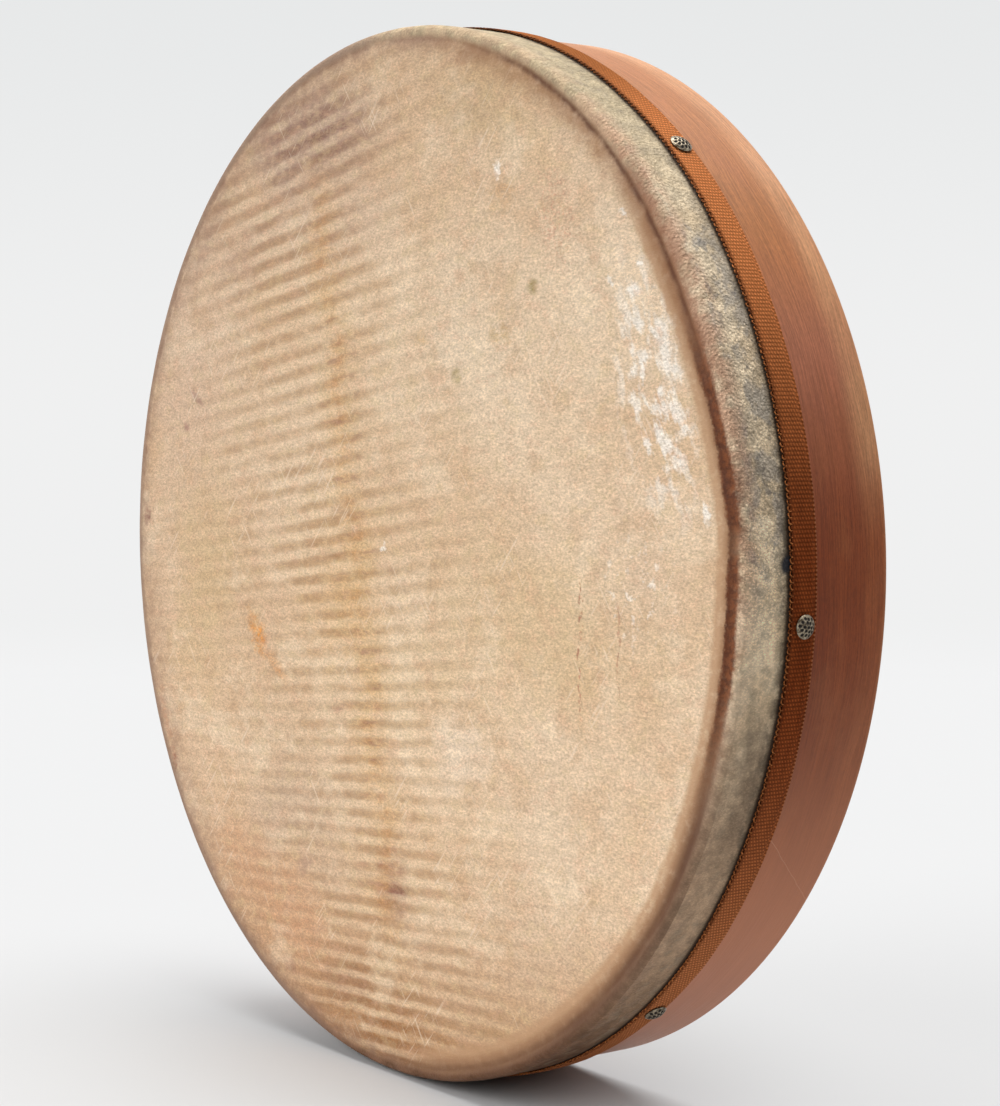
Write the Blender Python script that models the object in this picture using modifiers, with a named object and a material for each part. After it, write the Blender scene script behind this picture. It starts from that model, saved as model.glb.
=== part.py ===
"""Bendir: a frame drum with a goatskin head, standing on its rim.

The drum's axis is level, along Y, and the head faces -Y. The origin is on the
floor, below the middle of the drum. Lengths are in metres.

Pieces that belong to the drum are placed in the drum's own axes, which the
empty drum_axes carries: +X to the right, +Y up and +Z forward out of the head,
with Z = 0 in the plane of the head. A depth is a distance behind that plane.
"""

import math

import bmesh
import bpy
from mathutils import Matrix, Vector

# Driving dimensions of the hoop
HOOP_DIAMETER = 0.400
HOOP_WALL = 0.009
HOOP_WIDTH = 0.066
CREST_INSET = 0.0042
CREST_SLOPE = math.radians(8.5)
INSIDE_FALL = 0.0005
SHOULDER_RADIUS = 0.0021
BACK_OUTER_ROUND = 0.0015
BACK_INNER_ROUND = 0.0012

# Driving dimensions of the skin and of the tape over its cut edge
SKIN_THICKNESS = 0.0007
SKIN_REACH = 0.0300
TAPE_DEPTH = 0.0211
TAPE_WIDTH = 0.0120
TAPE_THICKNESS = 0.0008
TAPE_STEP = 0.0012
TAPE_EDGE_ROUND = 0.0002
TAPE_END_GAP = 0.0006

# Driving dimensions of the tacks
TACK_COUNT = 7
SEEN_TACK_ANGLES = (math.radians(46.4), math.radians(-4.3), math.radians(-51.0))
TACK_DEPTH = 0.0268
TACK_HEAD_DIAMETER = 0.0082
TACK_HEAD_RISE = 0.0015
TACK_RIM = 0.0003
TACK_SHANK_DIAMETER = 0.0014
TACK_POINT = 0.0016
TACK_TIP_COVER = 0.0030
TAPE_JOIN_TACK = 4

# Driving dimensions of the thumb hole, which lies in the middle of the bare wood
THUMB_HOLE_MARGIN = 0.00595
THUMB_HOLE_ANGLE = math.radians(180.0)
THUMB_HOLE_EASING = 0.0015

# Driving dimensions of the snares and the pegs that hold their ends
SNARE_COUNT = 3
SNARE_PITCH = 0.016
SNARE_DIAMETER = 0.0011
SNARE_DROP = 0.0015
SNARE_HOLE_REACH = 0.0048
PEG_DIAMETER = 0.0028
PEG_TAPER = 0.0003
PEG_PROUD = 0.0015

# Driving dimensions of the scarf joint's glue line
SCARF_ANGLE = math.radians(-30.5)
SCARF_LINE_DEPTH = 0.048
SCARF_SLANT = 0.97
SCARF_LENGTH = 0.060
GLUE_LINE_WIDTH = 0.0004
GLUE_LINE_STEP = 0.006

# Clearance between pieces that touch, and how finely round shapes are turned
SEAT_GAP = 0.0003
DRUM_STEPS = 108
TACK_STEPS = 20
SMALL_STEPS = 16
SHOULDER_ARC_STEPS = 5
BACK_ARC_STEPS = 3
DOME_ARC_STEPS = 4
OVERCUT = 0.001
MERGE_DISTANCE = 0.00001
SMOOTH_ANGLE = math.radians(35.0)

# Sizes that follow from the driving dimensions
HOOP_RADIUS = HOOP_DIAMETER / 2
HOOP_INNER_RADIUS = HOOP_RADIUS - HOOP_WALL
CREST_DEPTH = SKIN_THICKNESS + SEAT_GAP
CREST_RADIUS = HOOP_RADIUS - CREST_INSET
BACK_DEPTH = CREST_DEPTH + HOOP_WIDTH
SKIN_OUTER_RADIUS = HOOP_RADIUS + SEAT_GAP + SKIN_THICKNESS
TAPE_INNER_RADIUS = SKIN_OUTER_RADIUS + SEAT_GAP
TAPE_OUTER_RADIUS = TAPE_INNER_RADIUS + TAPE_THICKNESS
TAPE_BACK_RADIUS = HOOP_RADIUS + SEAT_GAP
TACK_SEAT_RADIUS = TAPE_OUTER_RADIUS + SEAT_GAP
BARE_WOOD_DEPTH = TAPE_DEPTH + TAPE_WIDTH
THUMB_HOLE_DEPTH = (BARE_WOOD_DEPTH + BACK_DEPTH) / 2
THUMB_HOLE_DIAMETER = BACK_DEPTH - BARE_WOOD_DEPTH - 2 * THUMB_HOLE_MARGIN
TACK_TIP_RADIUS = HOOP_INNER_RADIUS + TACK_TIP_COVER
SNARE_DEPTH = SKIN_THICKNESS + SNARE_DROP + SNARE_DIAMETER / 2
PEG_DEPTH = SNARE_DEPTH + SNARE_DIAMETER / 2 + SEAT_GAP + PEG_DIAMETER / 2
HALF_STEP = math.pi / DRUM_STEPS
AXIS_HEIGHT = TAPE_OUTER_RADIUS * math.cos(HALF_STEP)


def clear_scene():
    for item in list(bpy.data.objects):
        bpy.data.objects.remove(item, do_unlink=True)


def make_collection(name):
    group = bpy.data.collections.new(name)
    bpy.context.scene.collection.children.link(group)
    return group


def make_material(name, color, roughness, metallic=0.0):
    material = bpy.data.materials.new(name)
    material.use_nodes = True
    shader = material.node_tree.nodes["Principled BSDF"]
    shader.inputs["Base Color"].default_value = (*color, 1.0)
    shader.inputs["Roughness"].default_value = roughness
    shader.inputs["Metallic"].default_value = metallic
    return material


def add_piece(name, data, group, parent, material=None):
    """Link a new object, in the drum's axes or in those of its parent."""
    piece = bpy.data.objects.new(name, data)
    group.objects.link(piece)
    piece.parent = parent
    if material is not None:
        data.materials.append(material)
    return piece


def mark_as_cutter(piece):
    piece.hide_render = True
    piece.display_type = 'WIRE'
    return piece


def shade_round(mesh):
    mesh.shade_smooth()
    mesh.set_sharp_from_angle(angle=SMOOTH_ANGLE)


def profile_mesh(name, points, closed, turn=0.0):
    """A line of edges through (radius, height) points, for a Screw modifier."""
    corners = [(r * math.cos(turn), r * math.sin(turn), z) for r, z in points]
    edges = [(i, i + 1) for i in range(len(corners) - 1)]
    if closed:
        edges.append((len(corners) - 1, 0))
    mesh = bpy.data.meshes.new(name)
    mesh.from_pydata(corners, edges, [])
    return mesh


def add_screw(piece, steps):
    screw = piece.modifiers.new("turned", 'SCREW')
    screw.axis = 'Z'
    screw.angle = math.tau
    screw.steps = steps
    screw.render_steps = steps
    screw.use_merge_vertices = True
    screw.merge_threshold = MERGE_DISTANCE
    screw.use_smooth_shade = True
    return screw


def add_cut(piece, cutter, name):
    cut = piece.modifiers.new(name, 'BOOLEAN')
    cut.operation = 'DIFFERENCE'
    cut.solver = 'EXACT'
    cut.object = cutter
    return cut


def arc(center, radius, start, end, steps):
    """Points on an arc; angle 0 points outwards and a quarter turn forwards."""
    points = []
    for i in range(steps + 1):
        angle = start + (end - start) * i / steps
        points.append((center[0] + radius * math.cos(angle), center[1] + radius * math.sin(angle)))
    return points


def around(angle, radius, depth):
    """A point of the drum at an angle from its right-hand side."""
    return Vector((radius * math.cos(angle), radius * math.sin(angle), -depth))


def shoulder_line(offset):
    """The front shoulder from the crest to the outer wall, moved out by offset."""
    center_r = HOOP_RADIUS - SHOULDER_RADIUS
    tangent_r = center_r + SHOULDER_RADIUS * math.sin(CREST_SLOPE)
    tangent_depth = CREST_DEPTH + (tangent_r - CREST_RADIUS) * math.tan(CREST_SLOPE)
    center = (center_r, -tangent_depth - SHOULDER_RADIUS * math.cos(CREST_SLOPE))
    crest = (CREST_RADIUS + offset * math.tan(CREST_SLOPE / 2), offset - CREST_DEPTH)
    start = math.pi / 2 - CREST_SLOPE
    return [crest] + arc(center, SHOULDER_RADIUS + offset, start, 0.0, SHOULDER_ARC_STEPS)


def hoop_section():
    """Outline of the bent strip, from its crest down the outside and back up inside."""
    outer_center = (HOOP_RADIUS - BACK_OUTER_ROUND, BACK_OUTER_ROUND - BACK_DEPTH)
    inner_center = (HOOP_INNER_RADIUS + BACK_INNER_ROUND, BACK_INNER_ROUND - BACK_DEPTH)
    points = shoulder_line(0.0)
    points += arc(outer_center, BACK_OUTER_ROUND, 0.0, -math.pi / 2, BACK_ARC_STEPS)
    points += arc(inner_center, BACK_INNER_ROUND, -math.pi / 2, -math.pi, BACK_ARC_STEPS)
    points.append((HOOP_INNER_RADIUS, -CREST_DEPTH - INSIDE_FALL))
    return points


def make_hoop(group, drum, material):
    mesh = profile_mesh("frame_hoop", hoop_section(), True, HALF_STEP)
    hoop = add_piece("frame_hoop", mesh, group, drum, material)
    add_screw(hoop, DRUM_STEPS)
    return hoop


def add_shell(piece, thickness):
    shell = piece.modifiers.new("thickness", 'SOLIDIFY')
    shell.thickness = thickness
    shell.offset = 1.0
    shell.use_even_offset = True
    return shell


def make_skin(group, drum, material):
    """The head: a flat disc that rolls over the hoop's shoulder and down its wall."""
    lining = [(0.0, -SKIN_THICKNESS)] + shoulder_line(SEAT_GAP)
    lining.append((HOOP_RADIUS + SEAT_GAP, -SKIN_REACH))
    mesh = profile_mesh("skin_head", lining, False, HALF_STEP)
    skin = add_piece("skin_head", mesh, group, drum, material)
    add_screw(skin, DRUM_STEPS)
    add_shell(skin, SKIN_THICKNESS)
    return skin


def make_tape(group, drum, material):
    """The woven edging: its front lies on the skin, its back steps down to the wood."""
    step_start = SKIN_REACH + SEAT_GAP
    lining = [
        (TAPE_INNER_RADIUS, -TAPE_DEPTH),
        (TAPE_INNER_RADIUS, -step_start),
        (TAPE_BACK_RADIUS, -step_start - TAPE_STEP),
        (TAPE_BACK_RADIUS, -TAPE_DEPTH - TAPE_WIDTH),
    ]
    mesh = profile_mesh("edge_tape", lining, False, HALF_STEP)
    tape = add_piece("edge_tape", mesh, group, drum, material)
    add_screw(tape, DRUM_STEPS)
    add_shell(tape, TAPE_THICKNESS)
    edge = tape.modifiers.new("soft edges", 'BEVEL')
    edge.width = TAPE_EDGE_ROUND
    edge.segments = 1
    edge.limit_method = 'ANGLE'
    edge.angle_limit = math.radians(60.0)
    return tape


def tack_angles():
    """The three tacks in view, and the rest spread evenly over the hidden side."""
    first, last = SEEN_TACK_ANGLES[0], SEEN_TACK_ANGLES[-1]
    hidden = TACK_COUNT - len(SEEN_TACK_ANGLES)
    pitch = (math.tau - (first - last)) / (hidden + 1)
    return list(SEEN_TACK_ANGLES) + [last - pitch * i for i in range(1, hidden + 1)]


def tack_section():
    """Outline of a tack about its own axis, with its head's seat at height 0."""
    head_radius = TACK_HEAD_DIAMETER / 2
    shank_radius = TACK_SHANK_DIAMETER / 2
    shank_length = TACK_SEAT_RADIUS - TACK_TIP_RADIUS
    dome_radius = (head_radius ** 2 + TACK_HEAD_RISE ** 2) / (2 * TACK_HEAD_RISE)
    dome_center = (0.0, TACK_RIM + TACK_HEAD_RISE - dome_radius)
    edge_angle = math.acos(head_radius / dome_radius)
    points = arc(dome_center, dome_radius, math.pi / 2, edge_angle, DOME_ARC_STEPS)
    points[0] = (0.0, points[0][1])
    points += [(head_radius, 0.0), (shank_radius, 0.0)]
    points += [(shank_radius, TACK_POINT - shank_length), (0.0, -shank_length)]
    return points


def point_outwards(piece, angle, radius, depth):
    """Stand a piece's own Z axis out from the drum's axis at an angle."""
    piece.location = around(angle, radius, depth)
    piece.rotation_euler = (0.0, math.pi / 2, angle)


def make_tacks(group, drum, material):
    for number, angle in enumerate(tack_angles(), start=1):
        name = f"tack_{number}"
        tack = add_piece(name, profile_mesh(name, tack_section(), False), group, drum, material)
        add_screw(tack, TACK_STEPS)
        point_outwards(tack, angle, TACK_SEAT_RADIUS, TACK_DEPTH)


def snare_offsets():
    middle = (SNARE_COUNT - 1) / 2
    return [(i - middle) * SNARE_PITCH for i in range(SNARE_COUNT)]


def wall_distance(offset):
    """How far the hoop's inner wall lies from the drum's middle, along a snare."""
    return math.sqrt(HOOP_INNER_RADIUS ** 2 - offset ** 2)


def make_snares(group, drum, gut, wood):
    """Gut strands behind the head, with both ends of each pegged into the hoop."""
    peg_number = 0
    for number, offset in enumerate(snare_offsets(), start=1):
        name = f"snare_{number}"
        half = wall_distance(offset) + SNARE_HOLE_REACH - SEAT_GAP
        curve = bpy.data.curves.new(name, 'CURVE')
        curve.dimensions = '3D'
        curve.bevel_depth = SNARE_DIAMETER / 2
        curve.bevel_resolution = 2
        curve.use_fill_caps = True
        line = curve.splines.new('POLY')
        line.points.add(1)
        line.points[0].co = (-half, offset, -SNARE_DEPTH, 1.0)
        line.points[1].co = (half, offset, -SNARE_DEPTH, 1.0)
        add_piece(name, curve, group, drum, gut)
        for side in (-1, 1):
            peg_number += 1
            make_peg(f"snare_peg_{peg_number}", side, offset, group, drum, wood)


def make_peg(name, side, offset, group, drum, material):
    """A tapered wooden peg, driven behind a snare's end with its blunt end proud."""
    length = SNARE_HOLE_REACH - SEAT_GAP + PEG_PROUD
    mesh = bpy.data.meshes.new(name)
    shape = bmesh.new()
    bmesh.ops.create_cone(shape, cap_ends=True, segments=SMALL_STEPS, depth=length,
                          radius1=PEG_DIAMETER / 2, radius2=PEG_DIAMETER / 2 - PEG_TAPER)
    shape.to_mesh(mesh)
    shape.free()
    shade_round(mesh)
    peg = add_piece(name, mesh, group, drum, material)
    reach = wall_distance(offset) - PEG_PROUD + length / 2
    peg.location = (side * reach, offset, -PEG_DEPTH)
    peg.rotation_euler = (0.0, side * math.pi / 2, 0.0)


def add_rod(shape, start, end, radius, segments):
    """Add a closed cylinder between two points to a bmesh."""
    along = end - start
    turn = along.to_track_quat('Z', 'Y').to_matrix().to_4x4()
    place = Matrix.Translation((start + end) / 2) @ turn
    bmesh.ops.create_cone(shape, cap_ends=True, segments=segments, radius1=radius,
                          radius2=radius, depth=along.length, matrix=place)


def make_rod_cutter(name, rods, segments, group, drum):
    mesh = bpy.data.meshes.new(name)
    shape = bmesh.new()
    for start, end, radius in rods:
        add_rod(shape, start, end, radius, segments)
    shape.to_mesh(mesh)
    shape.free()
    return mark_as_cutter(add_piece(name, mesh, group, drum))


def make_tack_hole_cutter(group, drum):
    radius = TACK_SHANK_DIAMETER / 2 + SEAT_GAP
    rods = []
    for angle in tack_angles():
        inner = around(angle, TACK_TIP_RADIUS - SEAT_GAP, TACK_DEPTH)
        outer = around(angle, TAPE_OUTER_RADIUS + OVERCUT, TACK_DEPTH)
        rods.append((inner, outer, radius))
    return make_rod_cutter("tack_hole_cutter", rods, TACK_STEPS, group, drum)


def make_snare_hole_cutter(name, depth, radius, group, drum):
    """Rods right across the drum, so that each cuts the holes for both ends."""
    rods = []
    for offset in snare_offsets():
        half = wall_distance(offset) + SNARE_HOLE_REACH
        rods.append((Vector((-half, offset, -depth)), Vector((half, offset, -depth)), radius))
    return make_rod_cutter(name, rods, SMALL_STEPS, group, drum)


def make_thumb_hole_cutter(group, drum):
    """A spool that widens at both faces of the wall, so that the hole's rims are eased."""
    radius = THUMB_HOLE_DIAMETER / 2
    flare = radius + THUMB_HOLE_EASING
    outer = HOOP_WALL / 2
    points = [
        (0.0, outer + OVERCUT),
        (flare + OVERCUT, outer + OVERCUT),
        (radius, outer - THUMB_HOLE_EASING),
        (radius, THUMB_HOLE_EASING - outer),
        (flare + OVERCUT, -outer - OVERCUT),
        (0.0, -outer - OVERCUT),
    ]
    mesh = profile_mesh("thumb_hole_cutter", points, False)
    cutter = add_piece("thumb_hole_cutter", mesh, group, drum)
    add_screw(cutter, TACK_STEPS * 2)
    point_outwards(cutter, THUMB_HOLE_ANGLE, HOOP_RADIUS - HOOP_WALL / 2, THUMB_HOLE_DEPTH)
    return mark_as_cutter(cutter)


def make_tape_end_cutter(group, drum):
    """A thin plate that parts the tape under the head of one tack."""
    angle = tack_angles()[TAPE_JOIN_TACK - 1]
    mesh = bpy.data.meshes.new("tape_end_cutter")
    shape = bmesh.new()
    bmesh.ops.create_cube(shape, size=1.0)
    size = (TAPE_WIDTH + 2 * OVERCUT, TAPE_END_GAP, 2 * (TAPE_THICKNESS + OVERCUT + SKIN_THICKNESS))
    bmesh.ops.scale(shape, vec=size, verts=shape.verts)
    shape.to_mesh(mesh)
    shape.free()
    cutter = add_piece("tape_end_cutter", mesh, group, drum)
    point_outwards(cutter, angle, TAPE_INNER_RADIUS, TAPE_DEPTH + TAPE_WIDTH / 2)
    return mark_as_cutter(cutter)


def scarf_route():
    """The glue line: slanting down the outside, across the back edge and up inside.

    The strip's ends are tapered over SCARF_LENGTH, so the line inside lies that
    far round the hoop from the line outside. Its points follow the hoop's
    outline, starting where the wall leaves the front shoulder.
    """
    start = len(shoulder_line(0.0)) - 1
    outline = hoop_section()[start:]
    route = []
    for (r1, z1), (r2, z2) in zip(outline, outline[1:]):
        pieces = max(1, round(math.dist((r1, z1), (r2, z2)) / GLUE_LINE_STEP))
        for i in range(pieces):
            radius = r1 + (r2 - r1) * i / pieces
            depth = -(z1 + (z2 - z1) * i / pieces)
            slant = (depth - SCARF_LINE_DEPTH) * SCARF_SLANT
            inward = (HOOP_RADIUS - radius) / HOOP_WALL * SCARF_LENGTH
            route.append(around(SCARF_ANGLE - (slant + inward) / HOOP_RADIUS, radius, depth))
    return route


def make_glue_line_cutter(group, drum):
    """A fine round wire laid along the glue line, which scores it into the wood."""
    curve = bpy.data.curves.new("glue_line", 'CURVE')
    curve.dimensions = '3D'
    curve.bevel_depth = GLUE_LINE_WIDTH / 2
    curve.bevel_resolution = 1
    curve.use_fill_caps = True
    route = scarf_route()
    line = curve.splines.new('POLY')
    line.points.add(len(route) - 1)
    for point, place in zip(line.points, route):
        point.co = (*place, 1.0)
    wire = add_piece("glue_line", curve, group, drum)
    bpy.context.view_layer.update()
    mesh = bpy.data.meshes.new_from_object(wire.evaluated_get(bpy.context.evaluated_depsgraph_get()))
    weld_caps(mesh)
    cutter = add_piece("glue_line_cutter", mesh, group, None)
    cutter.matrix_world = wire.matrix_world
    bpy.data.objects.remove(wire, do_unlink=True)
    return mark_as_cutter(cutter)


def weld_caps(mesh):
    shape = bmesh.new()
    shape.from_mesh(mesh)
    bmesh.ops.remove_doubles(shape, verts=shape.verts, dist=MERGE_DISTANCE)
    bmesh.ops.recalc_face_normals(shape, faces=shape.faces)
    shape.to_mesh(mesh)
    shape.free()


def make_drum_axes(group):
    """The drum's own axes: middle of the head's plane, with Z out of the head."""
    drum = add_piece("drum_axes", None, group, None)
    drum.location = (0.0, -BACK_DEPTH / 2, AXIS_HEIGHT)
    drum.rotation_euler = (math.pi / 2, 0.0, 0.0)
    return drum


def build():
    clear_scene()
    parts = make_collection("bendir")
    cutters = make_collection("bendir_cutters")

    wood = make_material("stained_wood", (0.27, 0.095, 0.045), 0.45)
    goatskin = make_material("goatskin", (0.62, 0.47, 0.33), 0.7)
    tape = make_material("woven_tape", (0.24, 0.075, 0.022), 0.85)
    bronze = make_material("antique_bronze", (0.33, 0.28, 0.19), 0.42, 1.0)
    gut = make_material("gut", (0.78, 0.68, 0.48), 0.4)
    peg_wood = make_material("peg_wood", (0.5, 0.33, 0.18), 0.6)

    drum = make_drum_axes(parts)
    hoop = make_hoop(parts, drum, wood)
    skin = make_skin(parts, drum, goatskin)
    edging = make_tape(parts, drum, tape)
    make_tacks(parts, drum, bronze)
    make_snares(parts, drum, gut, peg_wood)

    tack_holes = make_tack_hole_cutter(cutters, drum)
    strand_radius = SNARE_DIAMETER / 2 + SEAT_GAP
    peg_radius = PEG_DIAMETER / 2 + SEAT_GAP
    strand_holes = make_snare_hole_cutter("snare_hole_cutter", SNARE_DEPTH, strand_radius, cutters, drum)
    peg_holes = make_snare_hole_cutter("peg_hole_cutter", PEG_DEPTH, peg_radius, cutters, drum)
    add_cut(hoop, tack_holes, "tack holes")
    add_cut(hoop, strand_holes, "snare holes")
    add_cut(hoop, peg_holes, "peg holes")
    add_cut(hoop, make_thumb_hole_cutter(cutters, drum), "thumb hole")
    add_cut(hoop, make_glue_line_cutter(cutters, drum), "glue line")
    add_cut(skin, tack_holes, "tack holes")
    add_cut(edging, tack_holes, "tack holes")
    add_cut(edging, make_tape_end_cutter(cutters, drum), "tape ends")


build()
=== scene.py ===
"""Bendir: the looks of a frame drum that stands on its rim on a white floor.

The drum has its own axes: +X to the right, +Y up and +Z forward out of the
head, with Z = 0 in the head's plane. Meshes are made in these axes, and the
materials read the same ones, in millimetres. A depth is a distance behind the
head's plane, and an angle goes round from the drum's right-hand side.
"""

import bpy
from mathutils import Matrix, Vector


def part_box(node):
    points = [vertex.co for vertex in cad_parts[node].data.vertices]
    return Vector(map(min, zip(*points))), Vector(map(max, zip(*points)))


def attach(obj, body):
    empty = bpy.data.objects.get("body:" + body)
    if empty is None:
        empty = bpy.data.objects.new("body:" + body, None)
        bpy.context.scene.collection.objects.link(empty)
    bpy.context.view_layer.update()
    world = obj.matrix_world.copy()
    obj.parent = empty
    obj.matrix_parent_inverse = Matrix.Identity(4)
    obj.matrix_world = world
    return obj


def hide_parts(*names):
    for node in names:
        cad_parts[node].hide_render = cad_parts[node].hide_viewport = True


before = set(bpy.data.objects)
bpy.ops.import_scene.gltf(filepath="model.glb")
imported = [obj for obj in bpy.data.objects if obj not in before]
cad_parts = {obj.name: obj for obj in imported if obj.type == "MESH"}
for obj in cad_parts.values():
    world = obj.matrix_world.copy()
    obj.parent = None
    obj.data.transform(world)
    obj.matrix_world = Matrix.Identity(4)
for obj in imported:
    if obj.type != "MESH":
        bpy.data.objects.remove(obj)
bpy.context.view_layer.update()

import math

import bmesh
import bpy
import numpy as np
from mathutils import Matrix, Vector, noise

MM = 0.001

# Places and sizes read from the frame
HOOP_LOW, HOOP_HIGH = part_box("frame_hoop")
SKIN_LOW, SKIN_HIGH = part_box("skin_head")
TAPE_LOW, TAPE_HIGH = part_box("edge_tape")
AXIS_HEIGHT = (HOOP_LOW[2] + HOOP_HIGH[2]) / 2
FACE_Y = SKIN_LOW[1]
HOOP_RADIUS = (HOOP_HIGH[2] - HOOP_LOW[2]) / 2
SKIN_RADIUS = (SKIN_HIGH[2] - SKIN_LOW[2]) / 2
TAPE_RADIUS = (TAPE_HIGH[2] - TAPE_LOW[2]) / 2
CREST_DEPTH = HOOP_LOW[1] - FACE_Y
BACK_DEPTH = HOOP_HIGH[1] - FACE_Y
SKIN_REACH = SKIN_HIGH[1] - FACE_Y
TAPE_FRONT = TAPE_LOW[1] - FACE_Y
TAPE_BACK = TAPE_HIGH[1] - FACE_Y
DRUM = Matrix.Translation((0.0, FACE_Y, AXIS_HEIGHT)) @ Matrix.Rotation(math.pi / 2, 4, 'X')


def drum_box(node):
    """Two opposite corners of a node's box in the drum's axes."""
    return [DRUM.inverted() @ Vector(corner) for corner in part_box(node)]


# Sizes of the hoop, the skin, the tape and the tacks that the solids share
HOOP_WALL = 9.0 * MM
SHOULDER_RADIUS = 2.1 * MM
CREST_RADIUS = HOOP_RADIUS - 4.2 * MM
CREST_SLOPE = math.radians(8.5)
BACK_OUTER_ROUND = 1.5 * MM
BACK_INNER_ROUND = 1.2 * MM
INSIDE_FALL = 0.5 * MM
SKIN_THICKNESS = 0.7 * MM
SEAT_GAP = 0.3 * MM
TAPE_THICKNESS = 0.8 * MM
TAPE_STEP = 1.2 * MM
TACK_HEAD_RADIUS = 4.1 * MM
TACK_HEAD_RISE = 1.5 * MM
TACK_RIM = 0.3 * MM
TACK_SHANK_RADIUS = 0.7 * MM
TACK_SHANK_LENGTH = 6.6 * MM
TACK_POINT = 1.6 * MM
TACK_DEPTH = 26.8 * MM
TACK_NODES = [f"tack_{n}" for n in range(1, 8)]
THUMB_HOLE_RADIUS = 11.0 * MM
THUMB_HOLE_DEPTH = 50.05 * MM
SNARE_NODES = [f"snare_{n}" for n in range(1, 4)]
PEG_NODES = [f"snare_peg_{n}" for n in range(1, 7)]
SNARE_HOLE_RADIUS = 0.85 * MM
PEG_HOLE_RADIUS = 1.7 * MM
PEG_HOLE_DEPTH = 9.0 * MM

# The photograph's camera, found from the drum's outlines
CAMERA_PLACE = Vector((772.79 * MM, -560.15 * MM, 252.29 * MM))
CAMERA_AZIMUTH = math.radians(53.075)
CAMERA_ELEVATION = math.radians(3.015)
CAMERA_LENS = 79.07
CAMERA_SENSOR = 36.0


class Value:
    """A number that a node tree works out. The usual signs add nodes to the tree."""

    def __init__(self, nodes, socket):
        self.nodes = nodes
        self.socket = socket

    def __add__(self, other):
        return self.nodes.math('ADD', self, other)

    def __radd__(self, other):
        return self.nodes.math('ADD', other, self)

    def __sub__(self, other):
        return self.nodes.math('SUBTRACT', self, other)

    def __rsub__(self, other):
        return self.nodes.math('SUBTRACT', other, self)

    def __mul__(self, other):
        return self.nodes.math('MULTIPLY', self, other)

    def __rmul__(self, other):
        return self.nodes.math('MULTIPLY', other, self)

    def __truediv__(self, other):
        return self.nodes.math('DIVIDE', self, other)

    def __abs__(self):
        return self.nodes.math('ABSOLUTE', self)


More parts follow.
